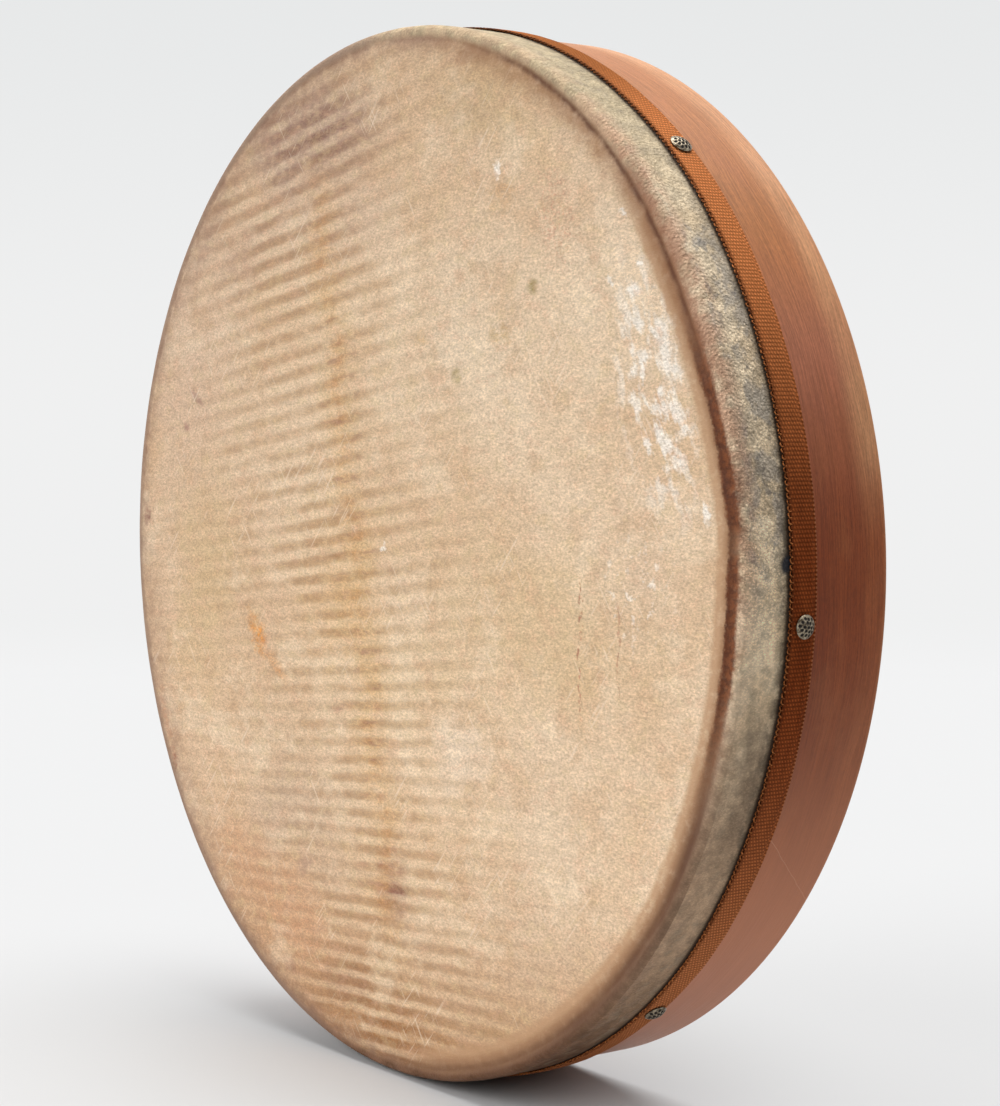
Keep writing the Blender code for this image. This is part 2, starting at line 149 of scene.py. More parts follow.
class Nodes:
    """Writes a node tree. Its methods return numbers as Values, and colours and
    places as sockets."""

    def __init__(self, tree):
        self.tree = tree

    def add(self, kind, inputs=(), **settings):
        """A new node. Its inputs are given by name or, with enumerate, in their order."""
        node = self.tree.nodes.new('ShaderNode' + kind)
        for key, value in settings.items():
            setattr(node, key, value)
        for key, value in dict(inputs).items():
            self.put(node.inputs[key], value)
        return node

    def put(self, socket, value):
        """Link a socket to another, or set it to a number or a colour."""
        if isinstance(value, Value):
            value = value.socket
        if isinstance(value, bpy.types.NodeSocket):
            self.tree.links.new(value, socket)
        elif isinstance(value, tuple) and len(value) == 3 and socket.type == 'RGBA':
            socket.default_value = (*value, 1.0)
        else:
            socket.default_value = value

    def math(self, operation, *values):
        node = self.add('Math', enumerate(values), operation=operation)
        return Value(self, node.outputs[0])

    def most(self, first, second):
        return self.math('MAXIMUM', first, second)

    def bell(self, value, width):
        """1 where value is 0, falling smoothly to 0 past a few widths."""
        return self.math('EXPONENT', self.math('POWER', value / width, 2.0) * -1.0)

    def vector(self, x, y, z):
        return self.add('CombineXYZ', enumerate((x, y, z))).outputs[0]

    def fade(self, value, start, end, low=0.0, high=1.0):
        """Ease from low at start to high at end."""
        node = self.add('MapRange', enumerate((value, start, end, low, high)),
                        interpolation_type='SMOOTHSTEP')
        return Value(self, node.outputs[0])

    def band(self, value, start, end, edge):
        """1 between start and end, easing to 0 over edge on both sides."""
        rise = self.fade(value, start - edge, start)
        fall = self.fade(value, end, end + edge, 1.0, 0.0)
        return rise * fall

    def noise(self, place, scale, detail=3.0, roughness=0.55, distortion=0.0):
        node = self.add('TexNoise', {'Vector': place, 'Scale': scale, 'Detail': detail,
                                     'Roughness': roughness, 'Distortion': distortion})
        return Value(self, node.outputs['Fac'])

    def stray(self, size, place, *settings):
        """Noise that wanders to both sides of 0."""
        return (self.noise(place, *settings) - 0.5) * size

    def cells(self, place, scale, feature='F1'):
        node = self.add('TexVoronoi', {'Vector': place, 'Scale': scale}, feature=feature)
        return Value(self, node.outputs['Distance'])

    def mix(self, amount, first, second):
        """Blend two colours. They stay vectors, as a change of kind costs the renderer room."""
        node = self.add('Mix', {'Factor': amount, 'A': first, 'B': second}, data_type='VECTOR')
        return node.outputs['Result']

    def tint(self, color, amount):
        """Multiply a colour by a number."""
        return self.add('VectorMath', {0: color, 'Scale': amount}, operation='SCALE').outputs[0]

    def spread(self, place, squeeze, seed):
        """The place on a flat sheet at height seed, squeezed along x."""
        return self.add('Mapping', {'Vector': place, 'Location': Vector((0.0, 0.0, seed)),
                                    'Scale': Vector((squeeze, 1.0, 0.0))}).outputs[0]

    def drawn(self, place, turn, length, seed):
        """The place shortened along a direction, so that a noise there is drawn out."""
        inputs = {'Vector': place, 'Location': Vector((0.0, 0.0, -seed)),
                  'Rotation': Vector((0.0, 0.0, turn)), 'Scale': Vector((length, 1.0, 1.0))}
        return self.add('Mapping', inputs, vector_type='TEXTURE').outputs[0]

    def attribute(self, name):
        return Value(self, self.add('Attribute', attribute_name=name).outputs['Fac'])

    def parts(self, vector):
        """The three numbers of a vector."""
        return [Value(self, socket) for socket in self.add('SeparateXYZ', {0: vector}).outputs]

    def own_place(self):
        """The place on the piece, in mm."""
        coordinates = self.add('TexCoord')
        return self.tint(coordinates.outputs['Object'], 1.0 / MM)

    def drum_place(self, folded=False):
        """(place, x, y, depth, radius, angle) in the drum's axes, in mm and degrees.
        Folded, the angle is the same on the drum's left side as on its right."""
        place = self.own_place()
        x, y, z = self.parts(place)
        depth = z * -1.0
        radius = self.math('SQRT', x * x + y * y)
        angle = self.around(x, y, folded)
        return place, x, y, depth, radius, angle

    def around(self, x, y, folded):
        """The angle round the drum, in degrees."""
        if folded:
            x = abs(x)
        return self.math('DEGREES', self.math('ARCTAN2', y, x))

    def ellipse(self, x, y, center, size, turn=0.0, soft=0.6):
        """1 inside a turned ellipse, easing to 0 at its edge."""
        cos, sin = math.cos(math.radians(turn)), math.sin(math.radians(turn))
        dx = x - center[0]
        dy = y - center[1]
        along = dx * (cos / size[0]) + dy * (sin / size[0])
        across = dx * (-sin / size[1]) + dy * (cos / size[1])
        reach = self.math('SQRT', along * along + across * across)
        return self.fade(reach, 1.0 - soft, 1.0, 1.0, 0.0)


class Looks(Nodes):
    """The node tree of a new material, round its Principled shader."""

    def __init__(self, name):
        self.material = bpy.data.materials.new(name)
        self.material.use_nodes = True
        super().__init__(self.material.node_tree)
        self.shader = self.tree.nodes["Principled BSDF"]
        self.output = self.tree.nodes["Material Output"]
        self.color = None

    def paint(self, amount, shade):
        """Lay a shade over the colour so far."""
        self.color = self.mix(amount, self.color, shade)

    def dim(self, amount):
        """Multiply the colour so far by a number."""
        self.color = self.tint(self.color, amount)

    def stain(self, amount, shade):
        """Multiply the colour so far by another, by amount."""
        node = self.add('VectorMath', enumerate((self.color, shade)), operation='MULTIPLY')
        self.paint(amount, node.outputs[0])

    def set(self, name, value):
        self.put(self.shader.inputs[name], value)

    def surface(self, roughness, specular=0.5):
        """Give the shader the colour so far, a roughness and a strength of reflection."""
        self.set('Base Color', self.color)
        self.set('Roughness', roughness)
        self.set('Specular IOR Level', specular)

    def bump(self, height, distance, strength):
        """Let a height, whose full step is distance in metres, shade the surface."""
        node = self.add('Bump', {'Height': height, 'Distance': distance, 'Strength': strength})
        self.set('Normal', node.outputs['Normal'])


def new_object(name, data):
    """An object in the scene's own collection."""
    thing = bpy.data.objects.new(name, data)
    bpy.context.scene.collection.objects.link(thing)
    return thing


def add_piece(name, data, place=DRUM, material=None):
    """A piece of the drum, which rides the one body."""
    piece = new_object(name, data)
    piece.matrix_world = place
    if material is not None:
        data.materials.append(material)
    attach(piece, "root")
    return piece


def grid_mesh(name, points, close_around=True, close_across=False):
    """A skin of quads over points[around][across], facing out where the second
    index runs down the drum's outer side."""
    around, across = points.shape[:2]
    index = np.arange(around * across).reshape(around, across)
    rows = np.arange(around if close_around else around - 1)
    columns = np.arange(across if close_across else across - 1)
    i, j = np.meshgrid(rows, columns, indexing='ij')
    ni, nj = (i + 1) % around, (j + 1) % across
    faces = np.stack([index[i, j], index[i, nj], index[ni, nj], index[ni, j]], axis=-1)
    mesh = bpy.data.meshes.new(name)
    mesh.from_pydata(points.reshape(-1, 3).tolist(), [], faces.reshape(-1, 4).tolist())
    return mesh


def merge_poles(mesh):
    """Weld the points that meet on a turned form's axis."""
    shape = bmesh.new()
    shape.from_mesh(mesh)
    bmesh.ops.remove_doubles(shape, verts=shape.verts, dist=0.000001)
    shape.to_mesh(mesh)
    shape.free()


def finish_mesh(mesh, sharp_degrees=40.0):
    """Shade a mesh smooth, with edges sharp past an angle."""
    mesh.shade_smooth()
    mesh.set_sharp_from_angle(angle=math.radians(sharp_degrees))


def store(mesh, name, values):
    """Keep one number for each point, for the material to read."""
    layer = mesh.attributes.new(name, 'FLOAT', 'POINT')
    layer.data.foreach_set("value", np.asarray(values, dtype=np.float32).ravel())


def ring_points(angles, radii, heights):
    """Points of a turned form, whose radii and heights may vary round it."""
    cos, sin = np.cos(angles)[:, None], np.sin(angles)[:, None]
    radii = np.broadcast_to(radii, (len(angles), np.shape(radii)[-1]))
    heights = np.broadcast_to(heights, radii.shape)
    return np.stack([radii * cos, radii * sin, heights], axis=-1)


def around_drum(count):
    """Even angles once round."""
    return np.arange(count) * math.tau / count


def wander(angles, seed, waves, size):
    """A smooth closed line of noise round the drum."""
    values = [noise.noise((math.cos(a) * waves, math.sin(a) * waves, seed)) for a in angles]
    return np.array(values) * size


def arc(center, radius, start, end, steps):
    """Points of a circle from one angle to another."""
    turns = np.linspace(start, end, steps + 1)
    return [(center[0] + radius * math.cos(t), center[1] + radius * math.sin(t)) for t in turns]


# Where the crease on the head strays: (angle, spread, distance in mm)
CREASE_SWAYS = ((26, 13, -1.7), (6, 5, 1.6), (-36, 9, 1.3), (-62, 12, 0.6))
CREASE_DEPTH = 0.35 * MM
CREASE_WIDTH = 1.4 * MM
SKIN_STEPS = 720
# The head's rings lie far apart in the middle, in mm, and close together by the crease
COARSE_RINGS = (0, 40, 80, 120, 150, 170, 180)
FINE_RINGS_START = 185.0 * MM
FINE_RING_PITCH = 0.5 * MM
# The shoulder's unevenness: where it starts, how fine and how high it is
SWELL_START = 193.0 * MM
SWELL_HEIGHT = 0.22 * MM
SHOULDER_DEPTH = 3.0 * MM
FACE_ROLL = 2.5 * MM
# The skin lies smooth where it goes under the tape
TUCK_START = 18.0 * MM
TUCK_LENGTH = 3.0 * MM
# What past_crease says, in mm, on the underside and down the wall
WELL_INSIDE = -200.0
WELL_OUTSIDE = 20.0


def crease_radius(angles):
    """How far out the crease runs at each angle."""
    radius = CREST_RADIUS + wander(angles, 3.0, 5.0, 0.5 * MM)
    degrees = np.degrees((angles + math.pi) % math.tau - math.pi)
    for center, spread, distance in CREASE_SWAYS:
        radius = radius + distance * MM * np.exp(-((degrees - center) / spread) ** 2)
    return radius


def skin_section():
    """Radii and heights of the head's outer side, from the middle to its cut edge."""
    offset = SEAT_GAP + SKIN_THICKNESS
    center_r = HOOP_RADIUS - SHOULDER_RADIUS
    tangent_r = center_r + SHOULDER_RADIUS * math.sin(CREST_SLOPE)
    tangent_depth = CREST_DEPTH + (tangent_r - CREST_RADIUS) * math.tan(CREST_SLOPE)
    center = (center_r, -tangent_depth - SHOULDER_RADIUS * math.cos(CREST_SLOPE))
    crest_r = CREST_RADIUS + offset * math.tan(CREST_SLOPE / 2)
    rings = [(r * MM, 0.0) for r in COARSE_RINGS]
    rings += [(r, 0.0) for r in np.arange(FINE_RINGS_START, crest_r - 0.2 * MM, FINE_RING_PITCH)]
    shoulder = arc(center, SHOULDER_RADIUS + offset, math.pi / 2 - CREST_SLOPE, 0.0, 14)
    slope_steps = 5
    for i in range(slope_steps):
        share = i / slope_steps
        rings.append((crest_r + (shoulder[0][0] - crest_r) * share, shoulder[0][1] * share))
    rings += shoulder
    wall_start = shoulder[-1][1]
    wall_steps = 26
    for i in range(1, wall_steps + 1):
        rings.append((SKIN_RADIUS, wall_start + (-SKIN_REACH - wall_start) * i / wall_steps))
    return np.array(rings)


def make_skin(material):
    """The head, with its crease along the hoop's crest and a slightly uneven shoulder."""
    angles = around_drum(SKIN_STEPS)
    section = skin_section()
    radii = np.broadcast_to(section[:, 0], (len(angles), len(section))).copy()
    heights = np.broadcast_to(section[:, 1], radii.shape).copy()
    crease = crease_radius(angles)[:, None]
    across = (radii - crease) / CREASE_WIDTH
    on_face = heights > -FACE_ROLL
    groove = np.where(on_face, np.exp(-across ** 2), 0.0)
    heights -= CREASE_DEPTH * groove
    swell = np.zeros_like(radii)
    for i, angle in enumerate(angles):
        for j in range(len(section)):
            if radii[i, j] < SWELL_START:
                continue
            place = Vector((math.cos(angle) * 9.0, math.sin(angle) * 9.0, heights[i, j] * 90.0))
            swell[i, j] = noise.noise(place) + 0.5 * noise.noise(place * 2.3)
    tucked = np.clip((-heights - TUCK_START) / TUCK_LENGTH, 0.0, 1.0)
    swell *= SWELL_HEIGHT * (1.0 - tucked)
    radii += np.where(heights < -SHOULDER_DEPTH, swell, 0.0)
    heights += np.where(heights >= -SHOULDER_DEPTH, swell * 0.4, 0.0)
    inside_r = np.array([r for r, h in section[::-1] if r < SKIN_RADIUS - 0.004])
    outer_edge = np.array([(SKIN_RADIUS - SKIN_THICKNESS, h) for h in
                           np.linspace(-SKIN_REACH, -5.0 * MM, 8)])
    inner_line = np.vstack([outer_edge, [(CREST_RADIUS, -SKIN_THICKNESS)],
                            [(r, -SKIN_THICKNESS) for r in inside_r]])
    radii = np.hstack([radii, np.broadcast_to(inner_line[:, 0], (len(angles), len(inner_line)))])
    heights = np.hstack([heights,
                         np.broadcast_to(inner_line[:, 1], (len(angles), len(inner_line)))])
    mesh = grid_mesh("drum_skin", ring_points(angles, radii, heights))
    outer_count = len(section)
    marks = np.zeros_like(radii)
    marks[:, :outer_count] = (radii[:, :outer_count] - crease) / MM
    marks[:, outer_count:] = WELL_INSIDE
    shoulder = heights < -SHOULDER_DEPTH
    marks = np.where(shoulder & (np.arange(marks.shape[1]) < outer_count), WELL_OUTSIDE, marks)
    store(mesh, "past_crease", marks)
    steps = np.linalg.norm(np.diff(section, axis=0), axis=1)
    run = np.concatenate([[0.0], np.cumsum(steps)]) - CREST_RADIUS
    runs = np.zeros_like(radii)
    runs[:, :outer_count] = run / MM
    store(mesh, "run", runs)
    merge_poles(mesh)
    finish_mesh(mesh, 60.0)
    skin = add_piece("drum_skin", mesh, material=material)
    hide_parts("skin_head")
    return skin


def make_hoop(material):
    """The bent-wood hoop with rounded arrises, a thumb hole and the snares' holes."""
    outer_center = (HOOP_RADIUS - BACK_OUTER_ROUND, BACK_OUTER_ROUND - BACK_DEPTH)
    inner_radius = HOOP_RADIUS - HOOP_WALL
    inner_center = (inner_radius + BACK_INNER_ROUND, BACK_INNER_ROUND - BACK_DEPTH)
    front = -CREST_DEPTH
    outer_front = (HOOP_RADIUS - SHOULDER_RADIUS, front - 0.4 * MM - SHOULDER_RADIUS)
    section = [(CREST_RADIUS, front)]
    section += arc(outer_front, SHOULDER_RADIUS, math.pi / 2 - CREST_SLOPE, 0.0, 6)
    for depth in (20.0, 33.0, 45.0, 55.0):
        section.append((HOOP_RADIUS, -depth * MM))
    section += arc(outer_center, BACK_OUTER_ROUND, 0.0, -math.pi / 2, 6)
    section += arc(inner_center, BACK_INNER_ROUND, -math.pi / 2, -math.pi, 5)
    for depth in (50.0, 30.0, 10.0):
        section.append((inner_radius, -depth * MM))
    section.append((inner_radius, front - INSIDE_FALL))
    section = np.array(section)
    angles = around_drum(480)
    points = ring_points(angles, section[:, 0], section[:, 1])
    mesh = grid_mesh("hoop_wood", points, close_across=True)
    hoop = add_piece("hoop_wood", mesh, material=material)
    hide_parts("frame_hoop")
    cut_thumb_hole(hoop)
    cut_peg_holes(hoop)
    finish_mesh(hoop.data, 38.0)
    weighted = hoop.modifiers.new("even shading", 'WEIGHTED_NORMAL')
    weighted.keep_sharp = True
    return hoop


def apply_cut(piece, cutter_mesh, place):
    """Cut a closed mesh out of a piece for good, and drop the cutter."""
    cutter = new_object("cutter", cutter_mesh)
    cutter.matrix_world = place
    cut = piece.modifiers.new("cut", 'BOOLEAN')
    cut.operation = 'DIFFERENCE'
    cut.solver = 'EXACT'
    cut.object = cutter
    bpy.context.view_layer.update()
    shown = piece.evaluated_get(bpy.context.evaluated_depsgraph_get())
    result = bpy.data.meshes.new_from_object(shown)
    piece.modifiers.remove(cut)
    piece.data = result
    bpy.data.objects.remove(cutter, do_unlink=True)


def cut_thumb_hole(hoop):
    """A spool with rounded flares, so that the hole's rims are eased."""
    easing = 1.6 * MM
    half = HOOP_WALL / 2
    side = []
    for t in np.linspace(0.0, math.pi / 2, 7):
        flare = easing * (1 - math.sin(t))
        side.append((THUMB_HOLE_RADIUS + flare, half - easing * (1 - math.cos(t))))
    top = [(0.0, half + 1.0 * MM), (THUMB_HOLE_RADIUS + easing * 1.4, half + 1.0 * MM)]
    section = top + side
    section += [(r, -h) for r, h in reversed(section)]
    angles = around_drum(72)
    line = np.array(section)
    mesh = grid_mesh("spool", ring_points(angles, line[:, 0], line[:, 1]))
    merge_poles(mesh)
    middle = Matrix.Translation((-(HOOP_RADIUS - half), 0.0, -THUMB_HOLE_DEPTH))
    apply_cut(hoop, mesh, DRUM @ middle @ Matrix.Rotation(math.pi / 2, 4, 'Y'))


def cut_peg_holes(hoop):
    """Blind holes in the inner wall for each snare's end and the peg behind it."""
    shape = bmesh.new()
    for node in SNARE_NODES + PEG_NODES:
        radius = SNARE_HOLE_RADIUS if node in SNARE_NODES else PEG_HOLE_RADIUS
        low, high = drum_box(node)
        middle = (low + high) / 2
        reach = abs(high.x - low.x) / 2 + SEAT_GAP
        if node in PEG_NODES:
            reach = PEG_HOLE_DEPTH / 2
            middle.x = math.copysign(max(abs(low.x), abs(high.x)) + SEAT_GAP - reach, middle.x)
        place = Matrix.Translation(middle) @ Matrix.Rotation(math.pi / 2, 4, 'Y')
        bmesh.ops.create_cone(shape, cap_ends=True, segments=24, radius1=radius, radius2=radius,
                              depth=2 * reach, matrix=place)
        if node in SNARE_NODES:
            mesh = bpy.data.meshes.new("rod")
            shape.to_mesh(mesh)
            shape.clear()
            apply_cut(hoop, mesh, DRUM)
    mesh = bpy.data.meshes.new("rods")
    shape.to_mesh(mesh)
    shape.free()
    apply_cut(hoop, mesh, DRUM)


# The woven tape: cross ribs along its length, and a looped front edge
TAPE_RIB_PITCH = 1.43 * MM
TAPE_RIB_HEIGHT = 0.1 * MM
TAPE_LOOP_PITCH = 2.12 * MM
RIB_SAMPLES = 4
# The tape's two edges in section: how far out of its face and in from its edge, in mm
TAPE_FRONT_EDGE = ((-0.65, 0.02), (-0.35, 0), (-0.05, 0.15), (0.02, 0.45), (-0.05, 0.8),
                   (0, 1.1), (0, 4), (0, 7))
TAPE_BACK_EDGE = ((0, 1.1), (-0.06, 0.85), (0.12, 0.6), (0.1, 0.3), (-0.15, 0.06), (-0.45, 0))


def make_tape(material):
    """The ribbed tape, which steps down from the skin's cut edge to the wood."""
    circumference = math.tau * TAPE_RADIUS
    ribs = round(circumference / TAPE_RIB_PITCH)
    angles = around_drum(ribs * RIB_SAMPLES)
    rib = 0.5 + 0.5 * np.cos(angles * ribs)[:, None]
    inner = TAPE_RADIUS - TAPE_THICKNESS
    back_inner = HOOP_RADIUS + SEAT_GAP
    back_outer = back_inner + TAPE_THICKNESS
    step = SKIN_REACH + SEAT_GAP
    front, back = TAPE_FRONT, TAPE_BACK
    lead = 0.3 * MM
    outside = [(TAPE_RADIUS + out * MM, front + depth * MM) for out, depth in TAPE_FRONT_EDGE]
    outside += [(TAPE_RADIUS, step - 0.6 * MM), (TAPE_RADIUS - 0.12 * MM, step + lead),
                (back_outer + 0.12 * MM, step + TAPE_STEP)]
    outside += [(back_outer + out * MM, back - depth * MM) for out, depth in TAPE_BACK_EDGE]
    lining = [(back_inner, back), (back_inner, step + TAPE_STEP), (inner, step),
              (inner, front + 0.1 * MM)]
    line = np.array(outside + lining)
    radii = np.broadcast_to(line[:, 0], (len(angles), len(line))).copy()
    heights = -np.broadcast_to(line[:, 1], radii.shape)
    ribbed = np.zeros(len(line))
    ribbed[2:len(outside) - 1] = 1.0
    radii -= TAPE_RIB_HEIGHT * (1.0 - rib) * ribbed
    radii[:, :len(outside)] += wander(angles, 11.0, 30.0, 0.1 * MM)[:, None]
    drift = wander(angles, 7.0, 6.0, 0.5 * MM)[:, None]
    heights = heights + drift * np.where(np.arange(len(line)) < len(outside), 1.0, 0.0)
    mesh = grid_mesh("woven_tape", ring_points(angles, radii, heights), close_across=True)
    store(mesh, "rib", np.broadcast_to(rib, radii.shape))
    finish_mesh(mesh, 70.0)
    tape = add_piece("woven_tape", mesh, material=material)
    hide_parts("edge_tape")
    loops = make_tape_loops(material)
    return tape


def make_tape_loops(material):
    """The picot edge: one small arch of thread after another, leaning on the skin."""
    count = round(math.tau * TAPE_RADIUS / TAPE_LOOP_PITCH)
    arch_steps, sides = 8, 5
    thread = 0.25 * MM
    verts, faces = [], []
    drift = wander(around_drum(count), 7.0, 6.0, 0.5 * MM)
    for n in range(count):
        middle = math.tau * n / count
        width = 0.4 * TAPE_LOOP_PITCH * (1.0 + 0.18 * noise.noise((n * 0.7, 1.0, 0.0)))
        reach = 1.15 * MM * (1.0 + 0.3 * noise.noise((n * 0.9, 5.0, 0.0)))
        line = []
        for t in np.linspace(0.0, math.pi, arch_steps + 1):
            along = -math.cos(t) * width * (1.0 + 0.25 * math.sin(t))
            forward = math.sin(t) * reach
            lift = 0.3 * MM + 0.25 * MM * math.cos(t)
            angle = middle + along / TAPE_RADIUS
            radius = TAPE_RADIUS - TAPE_THICKNESS + lift
            line.append(Vector((radius * math.cos(angle), radius * math.sin(angle),
                                -TAPE_FRONT - 0.35 * MM + forward + drift[n])))
        add_tube(verts, faces, line, thread, sides)
    mesh = bpy.data.meshes.new("tape_loops")
    mesh.from_pydata(verts, [], faces)
    mesh.shade_smooth()
    return add_piece("tape_loops", mesh, material=material)


def add_tube(verts, faces, line, radius, sides):
    """Append a capped tube along a line of points to lists of corners and faces."""
    start = len(verts)
    for i, point in enumerate(line):
        ahead = line[min(i + 1, len(line) - 1)] - line[max(i - 1, 0)]
        out = Vector((point.x, point.y, 0.0)).normalized()
        side = ahead.cross(out).normalized()
        up = side.cross(ahead).normalized()
        for s in range(sides):
            turn = math.tau * s / sides
            verts.append(point + side * (radius * math.cos(turn)) + up * (radius * math.sin(turn)))
    for i in range(len(line) - 1):
        for s in range(sides):
            a, b = start + i * sides + s, start + i * sides + (s + 1) % sides
            faces.append((a, b, b + sides, a + sides))
    faces.append(tuple(start + s for s in reversed(range(sides))))
    last = start + (len(line) - 1) * sides
    faces.append(tuple(last + s for s in range(sides)))


# The pitted tack heads
PIT_PITCH = 1.55 * MM
PIT_RADIUS = 0.8 * MM
PIT_DEPTH = 0.42 * MM


def pit_places():
    """Pits on a triangular lattice, each nudged a little."""
    places = []
    reach = int(TACK_HEAD_RADIUS / PIT_PITCH) + 2
    for row in range(-reach, reach + 1):
        for column in range(-reach, reach + 1):
            x = (column + 0.5 * (row % 2)) * PIT_PITCH
            y = row * PIT_PITCH * math.sqrt(3) / 2
            x += 0.28 * MM * noise.noise((row * 1.7, column * 2.3, 0.5))
            y += 0.28 * MM * noise.noise((row * 2.9, column * 1.1, 7.5))
            if math.hypot(x, y) < TACK_HEAD_RADIUS - 0.45 * MM:
                places.append((x, y))
    return np.array(places)


def tack_mesh(material):
    """A low dome covered in round pits, on a pointed shank."""
    dome_radius = (TACK_HEAD_RADIUS ** 2 + TACK_HEAD_RISE ** 2) / (2 * TACK_HEAD_RISE)
    rings = np.linspace(0.0, TACK_HEAD_RADIUS, 46)
    dome = np.sqrt(dome_radius ** 2 - rings ** 2) - dome_radius + TACK_HEAD_RISE + TACK_RIM
    rim = [(TACK_HEAD_RADIUS + 0.02 * MM, TACK_RIM * 0.6),
           (TACK_HEAD_RADIUS - 0.05 * MM, 0.1 * MM),
           (TACK_HEAD_RADIUS - 0.3 * MM, 0.0), (TACK_SHANK_RADIUS, 0.0),
           (TACK_SHANK_RADIUS, -TACK_SHANK_LENGTH), (0.0, -TACK_SHANK_LENGTH - TACK_POINT)]
    line = np.vstack([np.stack([rings, dome], axis=1), rim])
    angles = around_drum(120)
    points = ring_points(angles, line[:, 0], line[:, 1])
    count = len(rings)
    flat = points[:, :count, :2]
    away = np.min(np.linalg.norm(flat[:, :, None, :] - pit_places()[None, None], axis=-1), axis=-1)
    pit = np.clip(1.0 - away / PIT_RADIUS, 0.0, 1.0)
    pit = pit * pit * (3.0 - 2.0 * pit)
    points[:, :count, 2] -= PIT_DEPTH * pit
    worn = np.zeros(points.shape[:2])
    worn[:, :count] = pit
    worn[:, count:] = 0.35
    mesh = grid_mesh("tack_head", points)
    store(mesh, "pit", worn)
    merge_poles(mesh)
    finish_mesh(mesh, 60.0)
    mesh.materials.append(material)
    return mesh


def make_tacks(material):
    """The seven tack heads, each turned and leaning a little differently."""
    mesh = tack_mesh(material)
    seat = TAPE_RADIUS + SEAT_GAP
    for number, node in enumerate(TACK_NODES):
        low, high = drum_box(node)
        angle = math.atan2((low.y + high.y) / 2, (low.x + high.x) / 2)
        place = Matrix.Rotation(angle, 4, 'Z') @ Matrix.Translation((seat, 0.0, -TACK_DEPTH))
        lean = Matrix.Rotation(math.radians(2.0) * math.sin(number * 2.1), 4, 'Y')
        spin = Matrix.Rotation(number * 1.9, 4, 'Z')
        head = add_piece(f"{node}_head", mesh,
                         DRUM @ place @ Matrix.Rotation(math.pi / 2, 4, 'Y') @ lean @ spin)
        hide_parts(node)


def make_snares(material):
    """Gut strands of two plies, twisted."""
    turn_pitch = 2.6 * MM
    for node in SNARE_NODES:
        low, high = drum_box(node)
        start, end = min(low.x, high.x), max(low.x, high.x)
        middle_y, middle_z = (low.y + high.y) / 2, (low.z + high.z) / 2
        steps, sides = 900, 12
        xs = np.linspace(start, end, steps)
        turns = np.arange(sides) * math.tau / sides
        twist = xs[:, None] / turn_pitch * math.tau
        radius = 0.55 * MM * (0.8 + 0.2 * np.abs(np.cos(turns[None, :] - twist)))
        points = np.stack([
            np.broadcast_to(xs[:, None], radius.shape),
            middle_y + radius * np.sin(turns)[None, :],
            middle_z + radius * np.cos(turns)[None, :],
        ], axis=-1)
        mesh = grid_mesh(f"{node}_gut", points.transpose(1, 0, 2))
        shape = bmesh.new()
        shape.from_mesh(mesh)
        bmesh.ops.holes_fill(shape, edges=shape.edges, sides=sides)
        bmesh.ops.recalc_face_normals(shape, faces=shape.faces)
        shape.to_mesh(mesh)
        shape.free()
        finish_mesh(mesh, 60.0)
        strand = add_piece(f"{node}_gut", mesh, material=material)
        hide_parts(node)


def dress_pegs(material):
    """The pegs are shown by their own solids."""
    for node in PEG_NODES:
        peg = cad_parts[node]
        for entry in peg.material_slots:
            entry.material = material
        if not peg.material_slots:
            peg.data.materials.append(material)


